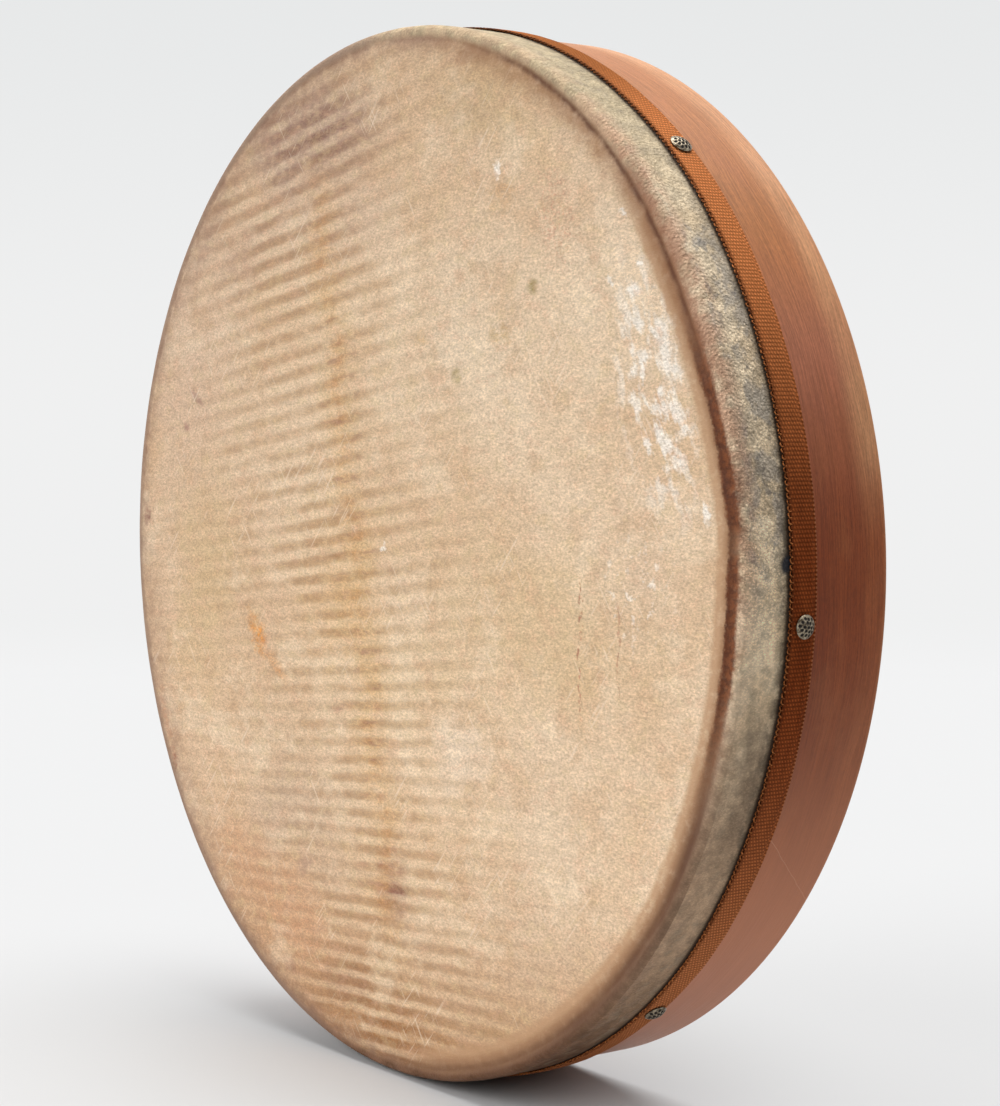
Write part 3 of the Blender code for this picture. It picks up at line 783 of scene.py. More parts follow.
# Marks on the head: (x, y) and size in mm, turn in degrees, colour and strength
HEAD_MARKS = (
    ((-48, 168), (66, 28), -4, (0.28, 0.16, 0.13), 0.82),
    ((-78, 158), (36, 22), -26, (0.29, 0.165, 0.135), 0.6),
    ((-42, 134), (64, 38), 0, (0.38, 0.225, 0.17), 0.34),
    ((-104, 122), (46, 26), 30, (0.38, 0.225, 0.175), 0.38),
    ((-132, 132), (60, 10), 46, (0.34, 0.2, 0.15), 0.42),
    ((58, 166), (44, 18), -16, (0.44, 0.33, 0.19), 0.4),
    ((-66, -152), (46, 28), -20, (0.56, 0.3, 0.165), 0.6),
    ((-116, -130), (32, 18), -42, (0.55, 0.31, 0.175), 0.5),
    ((0, -188), (96, 18), 0, (0.36, 0.175, 0.07), 0.82),
    ((70, -172), (50, 14), 22, (0.42, 0.26, 0.13), 0.5),
    ((-176, -78), (22, 6), -64, (0.55, 0.26, 0.14), 0.55),
    ((-168, -97), (8, 5), -50, (0.3, 0.1, 0.05), 0.9),
    ((-190, 10), (5, 7), 0, (0.24, 0.1, 0.08), 0.8),
    ((-96, -37), (15, 7.0), -52, (0.66, 0.27, 0.055), 1.0),
    ((-82, -49), (15, 4.4), -36, (0.6, 0.29, 0.11), 0.62),
    ((23, 83), (7, 6), 0, (0.52, 0.31, 0.12), 0.45),
    ((73, 133), (14, 10), 20, (0.52, 0.29, 0.13), 0.45),
    ((-30, -172), (26, 12), 0, (0.33, 0.175, 0.105), 0.5),
    ((-60, -128), (10, 5), 30, (0.34, 0.2, 0.15), 0.5),
    ((-72, -172), (10, 5), -20, (0.3, 0.15, 0.1), 0.55),
    ((-146, 62), (9, 2.8), -28, (0.32, 0.16, 0.14), 0.7),
    ((-155, 49), (4.0, 3.2), -40, (0.32, 0.15, 0.13), 0.65),
    ((-2, -120), (9, 3.0), 6, (0.33, 0.15, 0.11), 0.6),
    ((2, -126), (16, 26), 0, (0.33, 0.165, 0.11), 0.78),
    ((3, -130), (13, 4.4), 8, (0.22, 0.09, 0.08), 0.95),
    ((4, -139), (10, 3.4), 12, (0.27, 0.12, 0.09), 0.68),
    ((10, -150), (22, 4.0), 8, (0.36, 0.22, 0.14), 0.4),
    ((-36, -63), (8, 2.4), 6, (0.36, 0.17, 0.13), 0.4),
    ((-30, 17), (16, 3.6), 8, (0.28, 0.135, 0.085), 0.6),
    ((-26, 9), (11, 2.6), 8, (0.3, 0.13, 0.1), 0.5),
    ((-38, -1), (24, 3.2), 7, (0.32, 0.16, 0.1), 0.45),
    ((-24, -9), (22, 3.0), 6, (0.32, 0.16, 0.09), 0.42),
    ((91, 99), (4.6, 4.2), 0, (0.27, 0.21, 0.07), 0.9),
    ((45, 68), (4.4, 4.4), 0, (0.3, 0.23, 0.08), 0.88),
    ((72, 82), (12, 5), 0, (0.44, 0.28, 0.11), 0.6),
)
SMALL_MARK = 4.5
# Broad tones of the head, written like the marks
FACE_TONES = (
    ((95, 80), (95, 85), 10, (0.755, 0.6, 0.43), 0.52),
    ((98, -18), (90, 44), 0, (0.585, 0.412, 0.225), 0.6),
    ((14, -46), (88, 34), 0, (0.575, 0.4, 0.215), 0.45),
    ((152, 4), (32, 40), 0, (0.7, 0.53, 0.39), 0.34),
    ((-136, -12), (44, 62), 0, (0.59, 0.425, 0.23), 0.52),
    ((-150, -54), (46, 36), 0, (0.59, 0.41, 0.22), 0.3),
    ((-150, 80), (62, 66), 0, (0.655, 0.48, 0.365), 0.4),
    ((-50, 128), (54, 30), 0, (0.7, 0.5, 0.37), 0.35),
    ((76, 170), (60, 36), -30, (0.61, 0.425, 0.215), 0.58),
    ((48, -72), (30, 24), 0, (0.8, 0.67, 0.53), 0.5),
    ((112, -112), (44, 40), 30, (0.76, 0.62, 0.45), 0.35),
    ((-66, -108), (62, 42), 0, (0.5, 0.36, 0.255), 0.62),
    ((-25, -174), (62, 30), 0, (0.4, 0.205, 0.105), 0.6),
    ((50, 90), (46, 50), 0, (0.77, 0.64, 0.48), 0.3),
    ((-30, -12), (46, 48), 0, (0.575, 0.35, 0.155), 0.62),
    ((-80, -70), (60, 40), 0, (0.55, 0.39, 0.25), 0.4),
    ((105, -85), (40, 30), 0, (0.62, 0.455, 0.31), 0.34),
    ((85, -135), (80, 44), 10, (0.66, 0.51, 0.37), 0.34),
    ((-92, -152), (66, 40), -32, (0.54, 0.27, 0.135), 0.62),
)
# White flecks and worn spots: (x, y) and size in mm, and turn in degrees
WHITE_MARKS = (
    ((70, 142), (3.2, 5.8), 6), ((-3, 3), (3.0, 2.6), 60), ((141, 122), (3.6, 2.0), -10),
    ((146, 95), (6, 7), 0), ((157, 96), (2.0, 1.8), 0), ((164, 72), (9, 16), 26),
    ((146, 68), (5, 4), 10), ((158, 56), (7, 4), -20), ((169, 38), (7, 4), -24),
    ((134, 99), (4, 2.2), -10), ((150, 104), (3, 2.6), 0), ((172, 48), (9, 4.5), 30),
    ((183, 22), (3, 7), 14), ((150, 84), (4, 3), 0), ((168, 84), (5, 3), 40),
    ((154, 44), (4, 2.4), 0),
)
# Fine pale scratches: which way they run, in radians, and their seed
SCRATCHES = ((0.85, 3.0), (-0.95, 44.0))
# Upright cracks: x, y from and to in mm, and strength
CRACKS = ((118.0, -50.0, -6.0, 0.9), (139.0, -40.0, -13.0, 0.6))
# The stripes: their slope and pitch in mm, which both grow up the head, and the
# line of the spine, which is at SPINE_FOOT where y is 0
STRIPE_SLOPE = 0.125
STRIPE_SLOPE_GROWTH = 0.0004
STRIPE_PITCH = 7.65
STRIPE_PITCH_GROWTH = 0.003
SPINE_FOOT = -22.0
SPINE_LEAN = -0.19


def add_stripes(m, place, x, y, grain):
    """Soft cross stripes of dark specks that fade away from the animal's spine."""
    wobble = m.stray(2.4, place, 0.014, 2.0)
    ragged = m.stray(2.0, m.spread(place, 0.5, 21.0), 0.16, 3.0, 0.6)
    slope = STRIPE_SLOPE + y * STRIPE_SLOPE_GROWTH
    across = y - x * slope + wobble + ragged
    pitch = STRIPE_PITCH + across * STRIPE_PITCH_GROWTH
    wave = m.math('SINE', across * math.tau / pitch)
    spine = SPINE_FOOT + y * SPINE_LEAN
    side = x - spine
    near = m.bell(side + 4.0, 52.0)
    left = m.fade(side, -125.0, -60.0) * m.fade(side, -30.0, 20.0, 1.0, 0.0) * 0.36
    right = m.fade(side, 150.0, 60.0) * 0.24
    patchy = m.fade(m.noise(m.spread(place, 0.6, 5.0), 0.06, 3.0, 0.6), 0.36, 0.6, 0.3, 1.0)
    left = left * m.fade(y, -70.0, 20.0, 0.35, 1.0)
    top = m.ellipse(x, y, (-66, 132), (84, 48), 0, 0.8) * 0.32
    heart = m.ellipse(x, y, (-38, -8), (56, 40), 0, 0.9) * 0.42
    amount = (near * m.fade(y, -20.0, -80.0, 0.66, 0.92) + left + right + top + heart) * patchy
    speckled = wave * 0.5 + 0.5 + (grain - 0.5) * 2.2
    dark = m.fade(speckled, 0.15, 1.15) * amount
    light = m.fade(wave, 0.3, -0.9) * amount
    m.stain(dark, (0.76, 0.7, 0.62))
    m.paint(light * 0.3, (0.82, 0.64, 0.43))
    streaky = m.noise(m.spread(place, 0.35, 0.0), 0.22, 3.0, 0.65)
    on_spine = m.fade(y, 165.0, 120.0) * m.fade(y, -175.0, -130.0)
    stray = m.stray(44.0, m.spread(place, 0.0, 8.0), 0.025, 2.0)
    center = side + stray
    core = m.bell(center, 11.0) * on_spine * m.fade(streaky, 0.34, 0.6, 0.3, 1.0)
    m.paint(core * 0.46, (0.575, 0.35, 0.145))
    worn = m.bell(center, 5.0) * on_spine * m.fade(m.noise(place, 0.05, 3.0, 0.6), 0.42, 0.58)
    m.paint(worn * m.fade(wave, -0.6, 0.6, 0.3, 1.0) * 0.55, (0.48, 0.235, 0.095))
    flecks = m.bell(center, 15.0) * m.fade(streaky, 0.5, 0.64) * m.fade(wave, -0.1, 0.8)
    flecks = flecks * on_spine * m.fade(grain, 0.3, 0.55, 0.4, 1.0)
    m.paint(flecks * 0.62, (0.31, 0.165, 0.115))


def add_marks(m, place, x, y, grain):
    """The ellipses of HEAD_MARKS with ragged edges. Small ones keep closer to their form."""
    ragged_x = m.stray(8.0, place, 0.22, 3.0, 0.65)
    ragged_y = m.stray(8.0, place, 0.26, 3.0, 0.65)
    wide = x + ragged_x * 1.6, y + ragged_y * 1.6
    near = x + ragged_x * 0.35, y + ragged_y * 0.35
    rough = (m.fade(grain, 0.32, 0.62, 0.6, 1.0)
             * m.fade(m.noise(m.spread(place, 0.5, 60.0), 0.3, 3.0, 0.65), 0.34, 0.6, 0.45, 1.15))
    for center, size, turn, shade, strength in HEAD_MARKS:
        x, y = near if min(size) < SMALL_MARK else wide
        spot = m.ellipse(x, y, center, size, turn, 0.85)
        m.paint(spot * strength * rough, shade)


def add_wear(m, place, x, y, grain):
    """White flaked spots by the right-hand rim, a red blotch and two fine upright cracks."""
    red = (m.ellipse(x, y, (104, 124), (16, 30), 18, 0.8)
           * m.fade(m.noise(place, 0.5, 3.0, 0.7, 1.2), 0.48, 0.62))
    m.paint(red * 0.55, (0.56, 0.27, 0.18))
    shift_x = m.stray(9.0, place, 0.3, 3.0, 0.7)
    shift_y = m.stray(9.0, m.spread(place, 1.0, 19.0), 0.3, 3.0, 0.7)
    near_x, near_y = x + shift_x, y + shift_y
    white = 0.0
    for center, size, turn in WHITE_MARKS:
        white = m.most(white, m.ellipse(near_x, near_y, center, size, turn, 0.9))
    drawn = m.noise(m.drawn(place, -1.14, 2.0, 0.0), 0.16, 3.0, 0.6)
    dust = m.ellipse(x, y, (158, 62), (31, 74), 14, 0.9) * m.fade(drawn, 0.43, 0.62)
    wisps = (m.ellipse(x, y, (148, -6), (38, 36), 0, 0.9)
             * m.fade(m.noise(place, 0.2, 3.0, 0.65), 0.52, 0.68))
    white = m.most(white * m.fade(drawn, 0.36, 0.56, 0.45, 1.0), dust + wisps * 0.7)
    white = m.fade(white, 0.05, 1.0) * m.fade(grain, 0.3, 0.52, 0.6, 1.0)
    m.paint(white * 0.88, (0.86, 0.795, 0.71))
    jitter = m.stray(9.0, place, 0.12, 3.0)
    for line_x, low, high, shade in CRACKS:
        off = abs(x + jitter - line_x)
        line = m.fade(off, 0.2, 0.9, 1.0, 0.0) * m.band(y, low, high, 5.0)
        broken = m.fade(m.noise(place, 0.5, 2.0), 0.42, 0.55)
        m.paint(line * broken * shade, (0.42, 0.2, 0.12))


def paint_face(m, place, x, y, grain):
    """The flat head: broad tones, then marks, stripes and wear, then the fine grain."""
    broad = m.noise(place, 0.014, 3.0, 0.55)
    m.color = m.mix(m.fade(broad, 0.4, 0.6), (0.64, 0.455, 0.292), (0.705, 0.535, 0.37))
    m.paint(m.fade(x, 30.0, -180.0) * 0.6, (0.57, 0.38, 0.24))
    stray_x = x + m.stray(70.0, place, 0.03, 3.0, 0.6)
    stray_y = y + m.stray(70.0, m.spread(place, 1.0, 117.0), 0.03, 3.0, 0.6)
    for center, size, turn, shade, strength in FACE_TONES:
        m.paint(m.ellipse(stray_x, stray_y, center, size, turn, 0.9) * strength, shade)
    m.paint(m.fade(y, 112.0, 196.0) * 0.5, (0.54, 0.345, 0.205))
    m.paint(m.fade(y, -92.0, -192.0) * 0.85, (0.45, 0.265, 0.142))
    blotch = m.noise(place, 0.045, 4.0, 0.62)
    m.paint(m.fade(blotch, 0.5, 0.64) * 0.4, (0.54, 0.345, 0.2))
    pale = m.noise(m.spread(place, 0.7, 40.0), 0.04, 4.0, 0.68)
    m.paint(m.fade(pale, 0.5, 0.66) * 0.42, (0.8, 0.65, 0.47))
    add_marks(m, place, x, y, grain)
    add_stripes(m, place, x, y, grain)
    add_wear(m, place, x, y, grain)
    mottle = m.noise(m.spread(place, 0.5, 12.0), 0.4, 3.0, 0.62)
    m.dim(m.fade(mottle, 0.3, 0.7, 0.91, 1.08))
    rosy = m.noise(m.spread(place, 0.6, 30.0), 0.16, 3.0, 0.65)
    m.paint(m.fade(rosy, 0.54, 0.68) * 0.26, (0.62, 0.37, 0.24))
    m.paint(m.fade(rosy, 0.46, 0.34) * 0.22, (0.6, 0.46, 0.25))
    pores = m.noise(m.spread(place, 0.45, 3.0), 2.2, 2.0, 0.7)
    m.dim(m.fade(grain, 0.3, 0.7, 0.82, 1.14))
    m.dim(m.fade(pores, 0.32, 0.68, 0.87, 1.11))
    for turn, seed in SCRATCHES:
        thin = m.fade(m.noise(m.drawn(place, turn, 14.0, seed), 0.75, 2.0, 0.5), 0.625, 0.7)
        where = m.fade(m.noise(place, 0.022, 2.0), 0.48, 0.6)
        m.paint(thin * where * 0.34, (0.84, 0.7, 0.54))
    specks = m.fade(m.cells(place, 0.8), 0.1, 0.24, 1.0, 0.0)
    sparse = m.fade(m.noise(place, 0.06, 2.0), 0.48, 0.62, 0.15, 1.0)
    m.paint(specks * sparse * 0.4, (0.4, 0.25, 0.16))


# Where along the hoop the shoulder is darker or warmer: (angle from, to), colour.
# All three are painted shade: the shoulder is painted darker toward its top and,
# much more, toward its bottom.
SHOULDER_TONES = (
    (28.0, 56.0, (0.47, 0.375, 0.235)),
    (-6.0, -30.0, (0.42, 0.29, 0.185)),
    (-32.0, -64.0, (0.13, 0.062, 0.028)),
)


def paint_shoulder(m, depth, angle, run):
    """The rolled shoulder: cream-grey with blue-grey clouds, pink by the crease, with
    painted shade toward its top and bottom and along the tape's edge.
    """
    arc_mm = angle * (math.pi / 180.0 * SKIN_RADIUS / MM)
    wall = m.vector(arc_mm, run, 0.0)
    broad = m.noise(wall, 0.06, 3.0, 0.6)
    m.color = m.mix(m.fade(broad, 0.38, 0.62), (0.72, 0.555, 0.365), (0.88, 0.715, 0.5))
    # Painted shade by angle round the hoop.
    for start, end, shade in SHOULDER_TONES:
        m.paint(m.fade(angle, start, end), shade)
    patches = m.noise(m.spread(wall, 1.0, 9.0), 0.2, 3.0, 0.65)
    m.dim(m.fade(patches, 0.34, 0.66, 0.8, 1.17))
    clouds = m.noise(m.spread(wall, 0.8, 30.0), 0.115, 3.0, 0.62, 0.3)
    middle = m.band(angle, 3.0, 32.0, 8.0) * m.band(depth, 5.0, 18.0, 4.0)
    m.paint(m.fade(clouds, 0.47, 0.62) * middle * 0.62, (0.3, 0.28, 0.26))
    strong = m.noise(m.spread(wall, 1.0, 50.0), 0.16, 3.0, 0.65, 0.3)
    m.paint(m.fade(strong, 0.55, 0.66) * middle * 0.56, (0.135, 0.138, 0.15))
    brown = m.noise(m.spread(wall, 1.0, 70.0), 0.13, 3.0, 0.65)
    m.paint(m.fade(brown, 0.5, 0.64) * m.fade(depth, 2.0, 9.0) * 0.42, (0.29, 0.235, 0.165))
    pink = (m.fade(m.noise(wall, 0.1, 3.0, 0.6), 0.34, 0.56) * m.fade(depth, 10.0, 1.0)
            * m.fade(angle, 42.0, 60.0, 1.0, 0.35))
    m.paint(pink * m.fade(angle, -14.0, 10.0, 0.16, 0.74), (0.56, 0.32, 0.21))
    pale = m.band(angle, -5.0, 3.0, 6.0) * m.band(depth, 3.0, 14.0, 3.0)
    m.dim(1.0 + pale * 0.2)
    low_side = (m.band(angle, -24.0, -17.0, 7.0) * m.fade(depth, 4.0, 13.0)
                * m.fade(m.noise(wall, 0.12, 3.0, 0.6), 0.3, 0.58, 0.4, 1.0))
    m.paint(low_side * 0.7, (0.165, 0.11, 0.068))
    hem = m.fade(depth, 14.0, 20.5) * m.fade(m.noise(wall, 0.2, 3.0, 0.6), 0.36, 0.58)
    near = 0.42 + m.band(angle, -26.0, 9.0, 8.0) * 0.5
    m.paint(hem * near, (0.085, 0.068, 0.048))
    # Painted shadow of the tape's front edge on the skin just before it.
    m.paint(m.fade(depth, 17.2, 19.4) * 0.45, (0.15, 0.105, 0.06))
    m.paint(m.fade(depth, 18.7, 20.0) * 0.88, (0.04, 0.021, 0.012))
    spot = m.ellipse(arc_mm, depth, (5.2, 19.0), (4.6, 2.9), 10, 0.6)
    m.paint(spot * 0.95, (0.02, 0.022, 0.03))
    add_pebbles(m, wall, angle)


def add_pebbles(m, wall, angle):
    """Leather grain painted in light and shade: pale lit tops and dark shaded seams,
    strongest where the light rakes.
    """
    streaks = m.add('Mapping', {'Vector': wall, 'Scale': Vector((1.0, 0.58, 1.0)),
                                'Rotation': Vector((0.0, 0.0, 0.35))})
    warp = m.add('TexNoise', {'Vector': wall, 'Scale': 0.55})
    shift = m.tint(warp.outputs['Color'], 1.6)
    bent = m.add('VectorMath', enumerate((streaks.outputs[0], shift)), operation='ADD').outputs[0]
    seams = m.cells(bent, 1.45)
    fine = m.noise(bent, 2.4, 3.0, 0.7)
    strength = 0.34 + m.band(angle, 2.0, 20.0, 12.0) * 0.44
    tops = m.fade(seams, 0.66, 0.18, 0.72, 1.36)
    grainy = m.fade(fine, 0.3, 0.7, 0.74, 1.27)
    # Painted light and shade of the grain's relief.
    m.paint(strength, m.tint(m.tint(m.color, tops), grainy))


def skin_material():
    """Goatskin: the flat face inside the crease and the rolled shoulder outside it."""
    m = Looks("goatskin_looks")
    place, x, y, depth, radius, angle = m.drum_place()
    past = m.attribute("past_crease")
    grain = m.noise(m.spread(place, 0.62, 0.0), 1.05, 3.0, 0.62)
    paint_face(m, place, x, y, grain)
    face = m.color
    paint_shoulder(m, depth, m.around(x, y, True), m.attribute("run"))
    shoulder = m.color
    top_left = m.ellipse(x, y, (-95, 165), (150, 80), 38, 0.7)
    low_left = m.ellipse(x, y, (-165, -75), (110, 55), -60, 0.6)
    wide_rim = m.fade(radius, 172.0, 194.0) * m.most(top_left * 0.38, low_left * 0.55)
    rim = m.most(m.fade(radius, 187.0, 197.5), wide_rim)
    ragged = m.fade(m.noise(place, 0.1, 3.0, 0.65), 0.35, 0.65, 0.35, 1.0)
    right = m.band(angle, -80.0, 62.0, 14.0)
    face = m.mix(rim * ragged * (1.0 - right) * 0.78, face, (0.25, 0.145, 0.1))
    high = m.band(angle, 20.0, 75.0, 9.0) * m.fade(radius, 182.0, 196.0)
    face = m.mix(high * ragged * 0.66, face, (0.31, 0.165, 0.08))
    hidden = 1.0 - m.band(angle, -96.0, 84.0, 16.0)
    shoulder = m.mix(hidden * m.fade(depth, 12.0, 4.0) * 0.85, shoulder, (0.27, 0.175, 0.125))
    m.color = m.mix(m.fade(past, -0.4, 2.4), face, shoulder)
    add_crease(m, place, x, y, past, angle, right)
    coarse = m.noise(place, 1.1, 4.0, 0.65)
    follicles = m.cells(place, 0.95, 'SMOOTH_F1')
    pebbles = (m.fade(follicles, 0.1, 0.75) * m.fade(past, 1.0, 4.0)
               * m.fade(angle, -24.0, 2.0, 0.35, 1.0))
    height = coarse * 0.6 + pebbles * 0.9 + grain * 0.4
    m.surface(m.fade(m.noise(place, 0.2, 3.0), 0.3, 0.7, 0.52, 0.68), 0.14)
    m.bump(height, 0.0003, 0.9)
    return m.material


def add_crease(m, place, x, y, past, angle, right):
    """The dark line worn along the hoop's crest: thin above, a broad red-brown band
    at mid height and a softer brown one below. Painted shade darkens the face side
    where it dips toward the line."""
    stray = m.stray(1.8, place, 0.16, 3.0, 0.55)
    off = past + stray
    broken = m.fade(m.noise(place, 0.16, 3.0, 0.6), 0.3, 0.6, 0.6, 1.0)
    above = m.fade(angle, 17.0, 30.0)
    under = m.fade(angle, -8.0, -26.0)
    strong = 0.22 + right * 0.78
    rough = m.fade(m.noise(m.spread(place, 1.0, 51.0), 0.22, 3.0, 0.65), 0.3, 0.56, 0.62, 1.0)
    step = past + stray * 0.8
    # Painted shade on the face side of the crease, where the face dips toward it: a brown
    # darkening that sets in, in two steps, from about 10 mm inside the line, and above it a soft
    # halo.
    shade = m.band(angle, -78.0, 34.0, 10.0) * m.fade(past, 3.0, 0.0) * rough
    m.paint(m.fade(step, -9.8, -6.4) * shade * 0.88, (0.44, 0.262, 0.145))
    m.paint(m.fade(step, -6.0, -2.8) * shade * 0.8, (0.31, 0.165, 0.085))
    halo_shade = m.bell(past + 2.0, 4.6) * broken * strong * above * 0.45
    m.paint(halo_shade, (0.26, 0.118, 0.05))
    ruddy = m.bell(past - 2.6, 3.4) * rough * m.band(angle, 22.0, 40.0, 10.0) * 0.72
    m.paint(ruddy, (0.235, 0.1, 0.05))
    width = m.fade(m.noise(place, 0.05, 2.0), 0.4, 0.6, 2.3, 3.1)
    speckled = m.stray(2.6, m.spread(place, 1.0, 77.0), 0.7, 3.0, 0.7)
    near = (off + speckled) / width
    inner = m.fade(near, -1.35, -0.7)
    outer = m.fade(near, 0.55, 1.75, 1.0, 0.0)
    band = inner * outer
    mottled = m.fade(m.noise(m.spread(place, 1.0, 33.0), 0.45, 3.0, 0.65), 0.36, 0.62)
    middle = (1.0 - above) * (1.0 - under)
    wear = m.fade(m.noise(place, 0.3, 3.0, 0.7), 0.3, 0.46, 0.78, 1.0)
    wear = wear * m.fade(m.ellipse(x, y, (195, 12), (12, 9), 0, 1.0), 0.0, 1.0, 1.0, 0.55)
    worn = m.mix(mottled, (0.08, 0.02, 0.005), (0.18, 0.05, 0.013))
    m.paint(band * middle * wear * 0.96, worn)
    edge = m.bell(off + speckled + 1.6, 1.1)
    m.paint(edge * middle * 0.6, (0.06, 0.016, 0.005))
    even = m.fade(m.noise(m.vector(angle * 0.35, past, 0.0), 0.25, 2.0), 0.3, 0.7, 0.75, 1.0)
    soft = m.bell(past - 1.3, 3.5) * under * strong * even
    m.paint(soft * m.fade(angle, -44.0, -80.0, 0.94, 0.62), (0.1, 0.045, 0.025))
    line = m.bell(off, 1.3) * (0.25 + above * 0.6) * strong * broken
    m.paint(line, (0.085, 0.026, 0.01))


def wood_material():
    """Red-brown stained wood, its grain running round the hoop, with painted sheen, highlights and
    floor reflection on the outer wall.
    """
    m = Looks("stained_wood_looks")
    place, x, y, depth, radius, angle = m.drum_place(folded=True)
    arc_mm = angle * (math.pi / 180.0 * HOOP_RADIUS / MM)
    slow = m.noise(m.vector(arc_mm * 0.008, depth * 0.02, 0.0), 1.0, 2.0)
    lane = depth + (slow - 0.5) * 14.0
    broad = m.noise(m.vector(arc_mm * 0.006, lane * 0.12, radius * 0.05), 1.0, 3.0, 0.6)
    streak = m.noise(m.vector(arc_mm * 0.04, lane * 1.5, radius * 0.3), 1.0, 4.0, 0.65)
    pores = m.noise(m.vector(arc_mm * 0.22, lane * 5.0, radius * 1.0), 1.0, 3.0, 0.7)
    cloud = m.noise(m.vector(arc_mm * 0.03, depth * 0.06, 0.0), 1.0, 3.0)
    m.color = m.mix(m.fade(broad, 0.36, 0.64), (0.22, 0.042, 0.0075), (0.28, 0.06, 0.012))
    outside = m.fade(radius, 197.0, 199.2)
    # Painted sheen: the outer wall is painted lighter and more golden toward the top, where the
    # overhead light glances off the finish.
    upper_sheen = m.fade(angle, 0.0, 28.0) * outside
    m.paint(upper_sheen * 0.8, (0.52, 0.2, 0.112))
    m.paint(m.fade(angle, 20.0, 38.0) * outside * 0.86, (0.43, 0.156, 0.037))
    rubbed = m.band(angle, -22.0, 6.0, 10.0) * m.fade(depth, 53.0, 60.0)
    m.paint(rubbed * 0.3, (0.5, 0.155, 0.05))
    # Painted highlight: a golden band along the back of the outer wall, just above mid height.
    golden_highlight = (outside * m.fade(angle, 2.0, 15.0) * m.fade(depth, 51.0, 62.0)
              * m.fade(cloud, 0.35, 0.6, 0.6, 1.0))
    m.paint(golden_highlight * 0.86, (0.69, 0.352, 0.172))
    m.dim(m.fade(streak, 0.3, 0.7, 1.22, 0.76))
    m.paint(m.fade(cloud, 0.46, 0.66) * 0.26, (0.42, 0.14, 0.052))
    m.dim(m.fade(pores, 0.52, 0.7, 1.0, 0.66))
    fibres = m.noise(m.vector(arc_mm * 0.5, depth * 1.6, 0.0), 1.0, 4.0, 0.75)
    m.dim(m.fade(fibres, 0.3, 0.7, 0.86, 1.14))
    # Painted highlight on the rounded back arris of the outer wall.
    edge = (m.fade(depth, BACK_DEPTH / MM - 2.6, BACK_DEPTH / MM - 0.9)
            * m.fade(radius, 197.0, 198.5))
    m.paint(edge * 0.4, (0.6, 0.27, 0.12))
    seam = scarf_line(m, arc_mm, depth) * outside * m.fade(x, 0.0, 20.0)
    m.paint(seam * 0.42, (0.7, 0.4, 0.25))
    # Painted reflection of the pale floor: the outer wall is painted lighter toward the bottom.
    lower_reflection = m.fade(angle, -4.0, -38.0) * outside
    m.paint(lower_reflection * 0.74, (0.52, 0.205, 0.1))
    m.surface(m.fade(streak, 0.3, 0.7, 0.4, 0.5), 0.22)
    m.set('Coat Weight', 0.06)
    m.set('Coat Roughness', 0.3)
    height = streak * 0.5 + pores * -0.35 + seam * -0.6
    m.bump(height, 0.00012, 0.7)
    return m.material


# The scarf joint's edge: where it crosses the middle of the bare wood, and its slant
SCARF_ARC = math.radians(-30.5) * HOOP_RADIUS / MM
SCARF_DEPTH = 48.0
SCARF_SLANT = 0.97


def scarf_line(m, arc_mm, depth):
    """1 on the thin slanting line where the strip's end is glued down."""
    off = arc_mm - SCARF_ARC + (depth - SCARF_DEPTH) * SCARF_SLANT
    stray = m.stray(1.4, m.vector(arc_mm, depth, 0.0), 0.15, 2.0)
    return m.fade(abs(off + stray), 0.12, 0.42, 1.0, 0.0)


def tape_material():
    """Ribbed weave: bright thread on the ribs, dark between them, and lengthwise threads."""
    m = Looks("woven_tape_looks")
    place, x, y, depth, radius, angle = m.drum_place(folded=True)
    rib = m.attribute("rib")
    arc_mm = angle * (math.pi / 180.0 * TAPE_RADIUS / MM)
    tone = m.noise(m.vector(arc_mm * 0.05, depth * 0.25, 0.0), 1.0, 3.0)
    m.color = m.mix(m.fade(tone, 0.35, 0.65), (0.205, 0.044, 0.0105), (0.27, 0.062, 0.0155))
    thread = m.math('SINE', depth * (math.tau / 1.3) + arc_mm * (math.tau / 1.43 / 2))
    # Painted light and shade: the tape is painted darker at mid height, lighter above and below
    # it, and a little less light again near the top.
    m.paint(m.fade(angle, 0.0, 36.0) * 0.95, (0.6, 0.205, 0.066))
    m.paint(m.fade(angle, 48.0, 64.0), (0.34, 0.112, 0.032))
    m.paint(m.fade(angle, -10.0, -46.0) * 0.95, (0.42, 0.15, 0.056))
    stitch = m.fade(thread, -0.1, 0.8) * m.fade(rib, 0.25, 0.75)
    m.dim(m.fade(stitch, 0.0, 1.0, 0.86, 1.55))
    m.dim(m.fade(rib, 0.05, 0.6, 0.74, 1.0))
    fuzz = m.noise(place, 2.4, 3.0, 0.7)
    m.dim(m.fade(fuzz, 0.32, 0.68, 0.7, 1.24))
    # Painted highlight along the raised back edge of the tape, where it catches the light.
    selvedge = m.fade(depth, TAPE_BACK / MM - 0.95, TAPE_BACK / MM - 0.55)
    m.paint(selvedge * m.fade(rib, 0.2, 0.9) * 0.6, (0.6, 0.25, 0.12))
    # Painted shadow along the tape's front edge, where it curls down onto the skin.
    front = m.fade(depth, TAPE_FRONT / MM + 1.3, TAPE_FRONT / MM + 0.2)
    m.paint(front * 0.45, (0.1, 0.028, 0.01))
    m.surface(0.9, 0.05)
    height = thread * 0.5 + fuzz * 0.8
    m.bump(height, 0.00012, 0.8)
    return m.material


